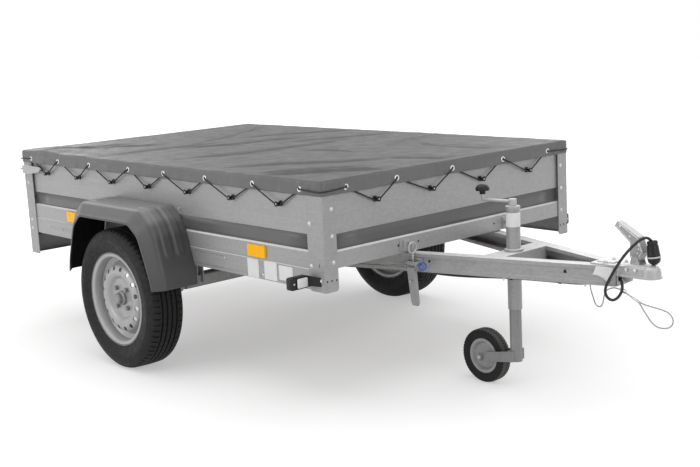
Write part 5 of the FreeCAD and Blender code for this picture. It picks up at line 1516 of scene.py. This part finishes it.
@dataclass
class WallTrim:
    """Dark bands of film, blank plates and labels."""

    band: tuple = (549.2, 560.0, 580.0, 601.0)
    sunk: float = 8.8
    side_x: Flat = (-887.0, 988.0)
    front_y: float = 570.0
    plate_y: float = 623.9
    plates: tuple = ((653.0, 716.0, 421.0, 486.0), (747.0, 816.0, 423.0, 486.0), (827.0, 901.0, 431.0, 481.0))
    tube_radius: float = 24.25
    film: float = 0.2
    paper: float = 0.25

    def build(self) -> None:
        """Adds the bands, plates and labels."""
        bands = Form()
        for side in RIGHT_LEFT:
            bands.grid([[at(x, side * (HALF_W - self.sunk), z) for z in self.band]
                        for x in spaced(*self.side_x, [], 120.0)])
        bands.grid([[at(FRONT_X - self.sunk, y, z) for z in self.band]
                    for y in spaced(-self.front_y, self.front_y, [], 120.0)])
        thicken(bands.done("dark_bands", Finishes.STRIPE, Body.BOX, "panel_dark"), "film", self.film)
        self.tiles("blank_side_plates", self.plates[:2], 4.0, Finishes.PAPER)
        self.tiles("blank_type_plate", self.plates[2:], 3.0, Finishes.PLATE)
        self.tube_label()
        self.beam_label()
        log.info("bands, plates and labels")

    def tiles(self, name: str, plates: Iterable[tuple], radius: float, finish: Finish) -> None:
        """One piece of thin plates with round corners on the right wall."""
        form = Form()
        for plate in plates:
            loop = round_loop(*plate, radius)
            form.skin([[at(x, -self.plate_y - up, z) for x, z in loop] for up in (0.0, 0.8)])
        bevel(form.done(name, finish, Body.BOX, "zinc_bright"), 0.25)

    def label(self, name: str, rows: Sequence[Sequence[Vector]]) -> None:
        """Blank paper on the chassis from a grid of points."""
        form = Form()
        form.grid(rows)
        thicken(form.done(name, Finishes.PAPER, Body.CHASSIS, "zinc_bright"), "paper", self.paper)

    def tube_label(self) -> None:
        """Blank label round the front of the jockey tube."""
        r = self.tube_radius
        self.label("blank_tube_label", [[at(JOCKEY_X + r * math.cos(a), JOCKEY_Y + r * math.sin(a), z)
                                         for z in (568.0, 569.0, 592.0, 615.0, 616.0)]
                                        for a in (math.radians(10.0 * k - 140.0) for k in range(19))])

    def beam_label(self) -> None:
        """Blank label on the right beam's face, with lifting corners."""
        rows = []
        for t in (k / 12.0 for k in range(13)):
            row = []
            for u in (m / 8.0 for m in range(9)):
                x = 1688.0 + 49.0 * t + (9.0 + 5.0 * t) * u
                low = 453.5 - 27.5 * t ** 2.2
                z = low + (482.0 - 1.6 * t - low) * u
                lift = 0.35 + 3.0 * bell(x - 1688.0, 10.0) * bell(z - 454.0, 14.0)
                lift += 2.6 * bell(x - 1737.0, 10.0) * bell(z - 428.0, 12.0)
                row.append(at(x, -beam_face(x) - lift, z))
            rows.append(row)
        self.label("blank_beam_label", rows)


class Head(Enum):
    """Kinds of visible fasteners."""

    HEX = "hex"
    DOME = "dome"
    RIVET = "rivet"
    TAB = "tab"


Spot = tuple[Point, Point, Head, float]


@dataclass
class Fasteners:
    """Bolt heads, rivets and caps on every body."""

    corner_domes: tuple = ((-928, 474), (-929, 436), (-928, 640), (1003, 639), (1002, 499), (1045, 455))
    front_domes: tuple = ((587, 686), (589, 598), (588, 512))
    wall_rivets: tuple = ((-758, 455), (-656, 455), (516, 471), (518, 436), (738, 470))
    cap: tuple = ((0.0, -0.3), (0.8, -0.3), (1.0, 0.9), (2.2, 0.7), (2.7, 0.2), (2.8, -0.5))
    hook_face: float = 13.3

    def on_box(self, s: int) -> list[Spot]:
        """Fasteners of one side of the box."""
        out, up, back = (0, s, 0), (0, 0, 1), (-1, 0, 0)
        spots = [((x, s * HALF_W, z), out, Head.DOME, 5.8) for x, z in self.corner_domes]
        spots += [((FRONT_X, s * y, z), (1, 0, 0), Head.DOME, 5.4) for y, z in self.front_domes]
        spots += [((x, s * 622.7, 624.0), out, Head.RIVET, 3.6) for x in (-250.0, -90.0, 90.0, 250.0)]
        spots += [((x, s * 622.4, z), out, Head.RIVET, 2.6) for x, z in self.wall_rivets]
        spots += [((x, s * 560.0, 503.0), up, Head.RIVET, 4.0) for x in (-900, -500, 0, 500, 960)]
        return spots + [((REAR_X, s * 612.0, z), back, Head.DOME, 4.6) for z in (700.0, 560.0, 470.0)]

    def on_chassis(self, s: int) -> list[Spot]:
        """Fasteners of one side of the drawbar and the coupling."""
        out, up, down = (0, s, 0), (0, 0, 1), (0, 0, -1)
        spots = [((x, s * (beam_face(140.0) - 31.0), 423.0), up, Head.HEX, 6.5) for x in (106.0, 174.0)]
        spots += [((x, s * (beam_face(x) - 7.0), BEAM_LOW), down, Head.TAB, 5.5) for x in (1392.0, 1659.0)]
        spots += [((x, s * 35.4, 479.5), out, Head.DOME, 4.4) for x in (1795.0, 1827.0)]
        return spots + [((1089.0, s * 268.6, 392.0), out, Head.RIVET, 4.0),
                        ((1712.0, s * 23.0, 489.0), up, Head.HEX, 6.5),
                        ((1760.0, s * 20.0, 489.0), up, Head.HEX, 5.0)]

    def on_gate(self) -> list[Spot]:
        """Rivets of the tailgate's hinges and bails."""
        back = (-1, 0, 0)
        spots = [((-962.0, y, z), back, Head.RIVET, 4.0)
                 for y in (-420.0, 0.0, 420.0) for z in (462.0, 486.0)]
        return spots + [((-964.0, s * 574.0, z), back, Head.RIVET, 3.4)
                        for s in RIGHT_LEFT for z in (690.0, 714.0)]

    def build(self) -> None:
        """Adds one piece of fasteners for each body."""
        spots = {Body.BOX: self.on_box(-1) + self.on_box(1),
                 Body.CHASSIS: self.on_chassis(-1) + self.on_chassis(1),
                 Body.TAILGATE: self.on_gate(),
                 Body.LEG: [((1200.0, -56.5, 95.5), (0, -1, 0), Head.HEX, 3.4)]}
        for body, heads in spots.items():
            form = Form()
            for place, axis, kind, size in heads:
                for steps, profile in self.turned(kind, size):
                    form.lathe(profile, place, axis, steps)
            form.done(f"{body.value}_fasteners", Finishes.BOLT, body, "zinc_bright", smooth=30.0)
            log.info("%s fasteners, %d", body.value, len(heads))
        self.hook_caps()

    def turned(self, kind: Head, r: float) -> list[tuple[int, tuple]]:
        """Turned profiles of a fastener of a size, each with its number of segments."""
        if kind is Head.HEX:
            return [(20, ((0.0, 1.6), (r * 1.9, 1.6), (r * 1.95, 1.2), (r * 1.95, -0.6))),
                    (6, ((0.0, 1.4 + r), (r * 0.8, 1.4 + r), (r * 1.12, 1.0 + r * 0.8), (r * 1.15, 1.2))),
                    (12, ((0.0, 3.4 + r), (r * 0.42, 3.4 + r), (r * 0.5, 2.9 + r), (r * 0.5, 1.2)))]
        if kind is Head.TAB:
            return [(12, ((0.0, r * 1.9), (r * 0.16, r * 1.86), (r * 0.8, r * 0.5), (r, -0.3)))]
        if kind is Head.DOME:
            return [(18, ((0.0, r * 0.62), (r * 0.5, r * 0.56), (r * 0.85, r * 0.34), (r * 1.05, 0.4),
                          (r * 1.3, 0.35), (r * 1.35, -0.5)))]
        return [(14, ((0.0, r * 0.22), (r * 0.3, r * 0.22), (r * 0.38, r * 0.5), (r * 0.8, r * 0.34),
                      (r, 0.1), (r, -0.5)))]

    def hook_caps(self) -> None:
        """Lighter screw heads in the middle of the button hooks."""
        lacing, face = TarpLacing(), self.hook_face
        caps, rear = Form(), Form()
        for x in lacing.hooks_along():
            for s in RIGHT_LEFT:
                caps.lathe(self.cap, (x, s * (HALF_W + face), HOOK_Z), (0, s, 0), 16)
        for y in lacing.hooks_across():
            caps.lathe(self.cap, (FRONT_X + face, y, HOOK_Z), (1, 0, 0), 16)
            rear.lathe(self.cap, (REAR_X - face, y, HOOK_Z), (-1, 0, 0), 16)
        caps.done("hook_screws", Finishes.BOLT, Body.BOX, "zinc_bright")
        rear.done("tailgate_hook_screws", Finishes.BOLT, Body.TAILGATE, "zinc_bright")


@dataclass
class SmallParts:
    """Marker lamps, dark discs of painted hole shade, pressings, buffers, valve stems, lock rings and cable
    clips.
    """

    housing: tuple = ((5.0, 976.0), (1.0, 978.0), (0.0, 981.0), (0.0, 1003.5), (1.0, 1005.4), (2.6, 1006.0))
    bezel: tuple = ((649.0, 696.8, 435.0, 471.2, 1005.0), (649.0, 696.8, 435.0, 471.2, 1008.2),
                    (650.4, 695.4, 436.4, 469.8, 1009.0))
    lens: tuple = ((651.0, 694.8, 437.0, 469.2, 1004.0), (651.0, 694.8, 437.0, 469.2, 1008.9),
                   (654.0, 691.8, 440.0, 465.0, 1011.0))
    arm: tuple = ((650.0, 979.0, 1003.0, 434.0, 472.0), (640.0, 984.0, 1012.0, 436.0, 470.0),
                  (631.0, 1008.0, 1046.0, 436.0, 466.0), (627.5, 1011.0, 1047.0, 436.0, 466.0))
    lamp_screw: tuple = ((0.0, 1.2), (1.0, 1.2), (1.3, 2.0), (3.0, 1.6), (3.6, -0.5))
    hole: tuple = ((0.0, 0.15), (0.93, 0.15), (1.0, 0.35), (1.06, -0.1))
    drilled: tuple = ((1064.7, 293.3, 518.1, 4.2), (1064.7, 197.0, 517.7, 3.6), (FRONT_X, 620.0, 454.0, 3.2),
                      (FRONT_X, 600.0, 453.5, 3.2), (FRONT_X, 580.0, 453.0, 3.2))
    slot: Flat = (1043.0, 504.0)
    plug: Point = (1600.0, 458.0, 5.6)
    bosses: tuple = ((1760.0, 608.0, 4.2), (1796.0, 580.0, 3.4), (1829.0, 556.0, 4.4), (1828.0, 543.0, 3.6),
                     (1823.0, 530.0, 3.8))
    pressed: tuple = (((1750.0, 612.5), (1757.0, 617.0), (1824.0, 577.0), (1839.0, 536.0)),
                      ((1748.0, 609.0), (1799.0, 564.0)), ((1800.0, 520.0), (1821.0, 507.0), (1838.0, 533.0)),
                      ((1806.0, 548.0), (1822.0, 566.0)))
    buffer: tuple = ((0.0, 7.0), (3.0, 7.2), (3.6, 11.6), (9.0, 11.8), (11.0, 9.0), (12.0, 1.6), (14.0, 1.2),
                     (14.0, -0.4))
    valve: tuple = ((0.0, 27.0), (2.8, 27.0), (3.4, 26.0), (3.6, 16.0), (2.9, 15.6), (3.1, 8.0), (4.4, 5.0),
                    (6.5, 1.0), (7.0, -2.0))
    knob: tuple = ((0.0, 6.0), (2.6, 5.4), (3.6, 3.0), (3.4, -3.0), (2.4, -5.4), (0.0, -6.0))

    def build(self) -> None:
        """Adds every small part."""
        self.marker_lamps()
        self.holes()
        self.handle_pressings()
        self.buffers()
        self.valves()
        self.lock_rings()
        self.clips()
        log.info("small parts")

    def marker_lamps(self) -> None:
        """Front marker lamps: deep housing, dark arm to the post, clear lens and a screw."""
        dark, clear, metal = Form(), Form(), Form()
        for s in RIGHT_LEFT:
            dark.skin([self.pill(647.0 + d, 716.6 - d, 432.4 + d, 473.6 - d, x, s) for d, x in self.housing])
            dark.skin([self.pill(*loop, s) for loop in self.bezel])
            clear.skin([self.pill(*loop, s) for loop in self.lens])
            dark.grid([[at(x, s * y, z) for x, z in ((x0, z0), (x1, z0), (x1, z1), (x0, z1), (x0, z0))]
                       for y, x0, x1, z0, z1 in self.arm])
            metal.lathe(self.lamp_screw, (1006.0, s * 706.0, 453.0), (1, 0, 0), 14)
        slot = "black_plastic"
        dark.done("marker_lamp_housings", Finishes.BLACK, Body.BOX, slot, "front_marker_lamps", 40.0)
        clear.done("marker_lenses", Finishes.CLEAR, Body.BOX, slot, smooth=50.0)
        metal.done("marker_lamp_screws", Finishes.BOLT, Body.BOX, slot)

    def pill(self, y0: float, y1: float, z0: float, z1: float, x: float, side: int) -> list[Vector]:
        """Rounded rectangle of points at one x."""
        return [at(x, side * y, z) for y, z in round_loop(y0, y1, z0, z1, 5.0)]

    def holes(self) -> None:
        """Dark discs of painted shade for the drilled holes and slots in the posts and the front wall, and
        dark plugs in the beams.
        """
        walls, beams = Form(), Form()
        x0, z0 = self.slot
        plug_x, plug_z, plug_r = self.plug
        for s in RIGHT_LEFT:
            for x, y, z, r in self.drilled:
                walls.lathe([(q * r, h) for q, h in self.hole], (x, s * y, z), (1, 0, 0), 14)
            ends = [(1.6 * math.cos(a), 1.6 * math.sin(a)) for a in (*angles(16), 0.0)]
            rim = [at(x0 + u, s * (HALF_W + 0.15), z0 + v + (4.6 if v > 0 else -4.6)) for u, v in ends]
            walls.grid([rim, [at(x0, s * (HALF_W + 0.2), z0)] * len(rim)])
            cap = [(q * plug_r, h * 3.0) for q, h in self.hole]
            beams.lathe(cap, (plug_x, s * beam_face(plug_x), plug_z), (BEAM_SLOPE, s, 0.0), 16)
        bmesh.ops.remove_doubles(walls.bm, verts=walls.bm.verts, dist=1e-6)
        # Thin dark discs on the walls stand for the shade inside the holes: painted shade.
        walls.done("hole_shade_discs", Finishes.HOLE, Body.BOX, "black_plastic")
        beams.done("beam_hole_plugs", Finishes.HOLE, Body.CHASSIS, "black_plastic")

    def handle_pressings(self) -> None:
        """Raised bosses and pressed edges on both sides of the coupling's handle, in a brighter finish than
        the handle as painted highlight.
        """
        form = Form()
        for s in RIGHT_LEFT:
            for x, z, r in self.bosses:
                boss = ((0.0, 1.3), (r * 0.7, 1.2), (r, 0.3), (r * 1.1, -0.3))
                form.lathe(boss, (x, s * 14.5, z), (0, s, 0), 16)
            for (x0, z0), (x1, z1) in (pair for run in self.pressed for pair in zip(run, run[1:])):
                side = Vector((z0 - z1, 0.0, x1 - x0)).normalized()
                form.skin([[at(*(Vector((x, s * (14.4 + up), z)) + side * h))
                            for h, up in ((-1.5, 0.0), (-0.8, 1.1), (0.8, 1.1), (1.5, 0.0))]
                           for x, z in ((x0, z0), (x1, z1))])
        # The bright bolt finish on the handle's own pressings paints a highlight along the pressed edges.
        form.done("handle_pressings", Finishes.BOLT, Body.LEVER, "zinc_bright")

    def buffers(self) -> None:
        """Rubber stops at the feet of the rear posts."""
        form = Form()
        for s in RIGHT_LEFT:
            form.lathe(self.buffer, (REAR_X, s * 611.0, 340.0), (-1, 0, 0), 24)
        form.done("rear_buffers", Finishes.BLACK, Body.BOX, "black_plastic")

    def valves(self) -> None:
        """Rubber valve stems with caps."""
        a, reach = math.radians(28.0), 142.0
        for s, body in zip(RIGHT_LEFT, (Body.RIGHT_WHEEL, Body.LEFT_WHEEL)):
            form = Form()
            form.lathe(self.valve, (reach * math.cos(a), s * (WHEEL_Y + 20.0), WHEEL_R + reach * math.sin(a)),
                       (-0.35 * math.cos(a), s * 0.93, -0.35 * math.sin(a)), 14)
            form.done(f"{body.value}_valve", Finishes.BLACK, body, "black_plastic")

    def lock_rings(self) -> None:
        """Blue rings on the lock pins of the front latches."""
        circle = [(12.6 + 2.5 * math.cos(a), 2.5 * math.sin(a)) for a in angles(10)]
        form = Form()
        y = beam_face(1131.0) + 16.5 + 7.4
        for s in RIGHT_LEFT:
            form.lathe(circle, (1138.0, s * (y + 9.0), 448.0), (0.55, s * 0.82, 0.1), 28, closed=True)
            form.lathe(self.knob, (1127.0, s * (y + 7.0), 452.0), (1.0, -s * 0.3, 0.1), 14)
        form.done("lock_pin_rings", Finishes.BLUE, Body.CHASSIS, "zinc_bright")

    def clips(self) -> None:
        """Clips that hold the lead under the beam."""
        form = Form()
        ring = [(6.4 + 1.2 * math.cos(a), 5.0 * math.sin(a)) for a in angles(8)]
        for x in (748.0, 1028.0, 1398.0, 1560.0):
            form.lathe(ring, (x, 36.0 - beam_face(x), 414.5), (1.0, BEAM_SLOPE, 0.0), 18, closed=True)
        form.done("lead_clips", Finishes.BLACK, Body.CHASSIS, "black_plastic")


@dataclass
class FrameNodes:
    """Finishes and soft edges of the rigid nodes that keep their own shape."""

    edge: float = 0.7

    def build(self) -> None:
        """Gives each node its finish, smooth rounds and a small edge bevel."""
        for name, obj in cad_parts.items():
            finish = NODE_FINISH[name]
            if not obj.material_slots:
                obj.data.materials.append(finish.material())
            for slot in obj.material_slots:
                slot.material = finish.material()
            if name in NO_BEVEL:
                continue
            weld = obj.modifiers.new("weld", "WELD")
            weld.merge_threshold = 0.00002
            bevel(obj, self.edge, 40.0)
            log.info("%s: %s", name, finish.name)


def main() -> None:
    """Builds the studio and the trailer's pieces in order."""
    logging.basicConfig(level=logging.INFO, format="%(message)s")
    PhotoCamera().build()
    TarpLacing().build()
    DrawbarLines().build()
    TarpSheet().build()
    RearSkirtSheet().build()
    Eyelets().build()
    RoadTyre("right_tyre", Body.RIGHT_WHEEL, -WHEEL_Y).build()
    RoadTyre("left_tyre", Body.LEFT_WHEEL, WHEEL_Y).build()
    JockeyTyre().build()
    Mudguards().build()
    WallTrim().build()
    Fasteners().build()
    SmallParts().build()
    FrameNodes().build()
    Studio().build()


if __name__ == "__main__":
    main()
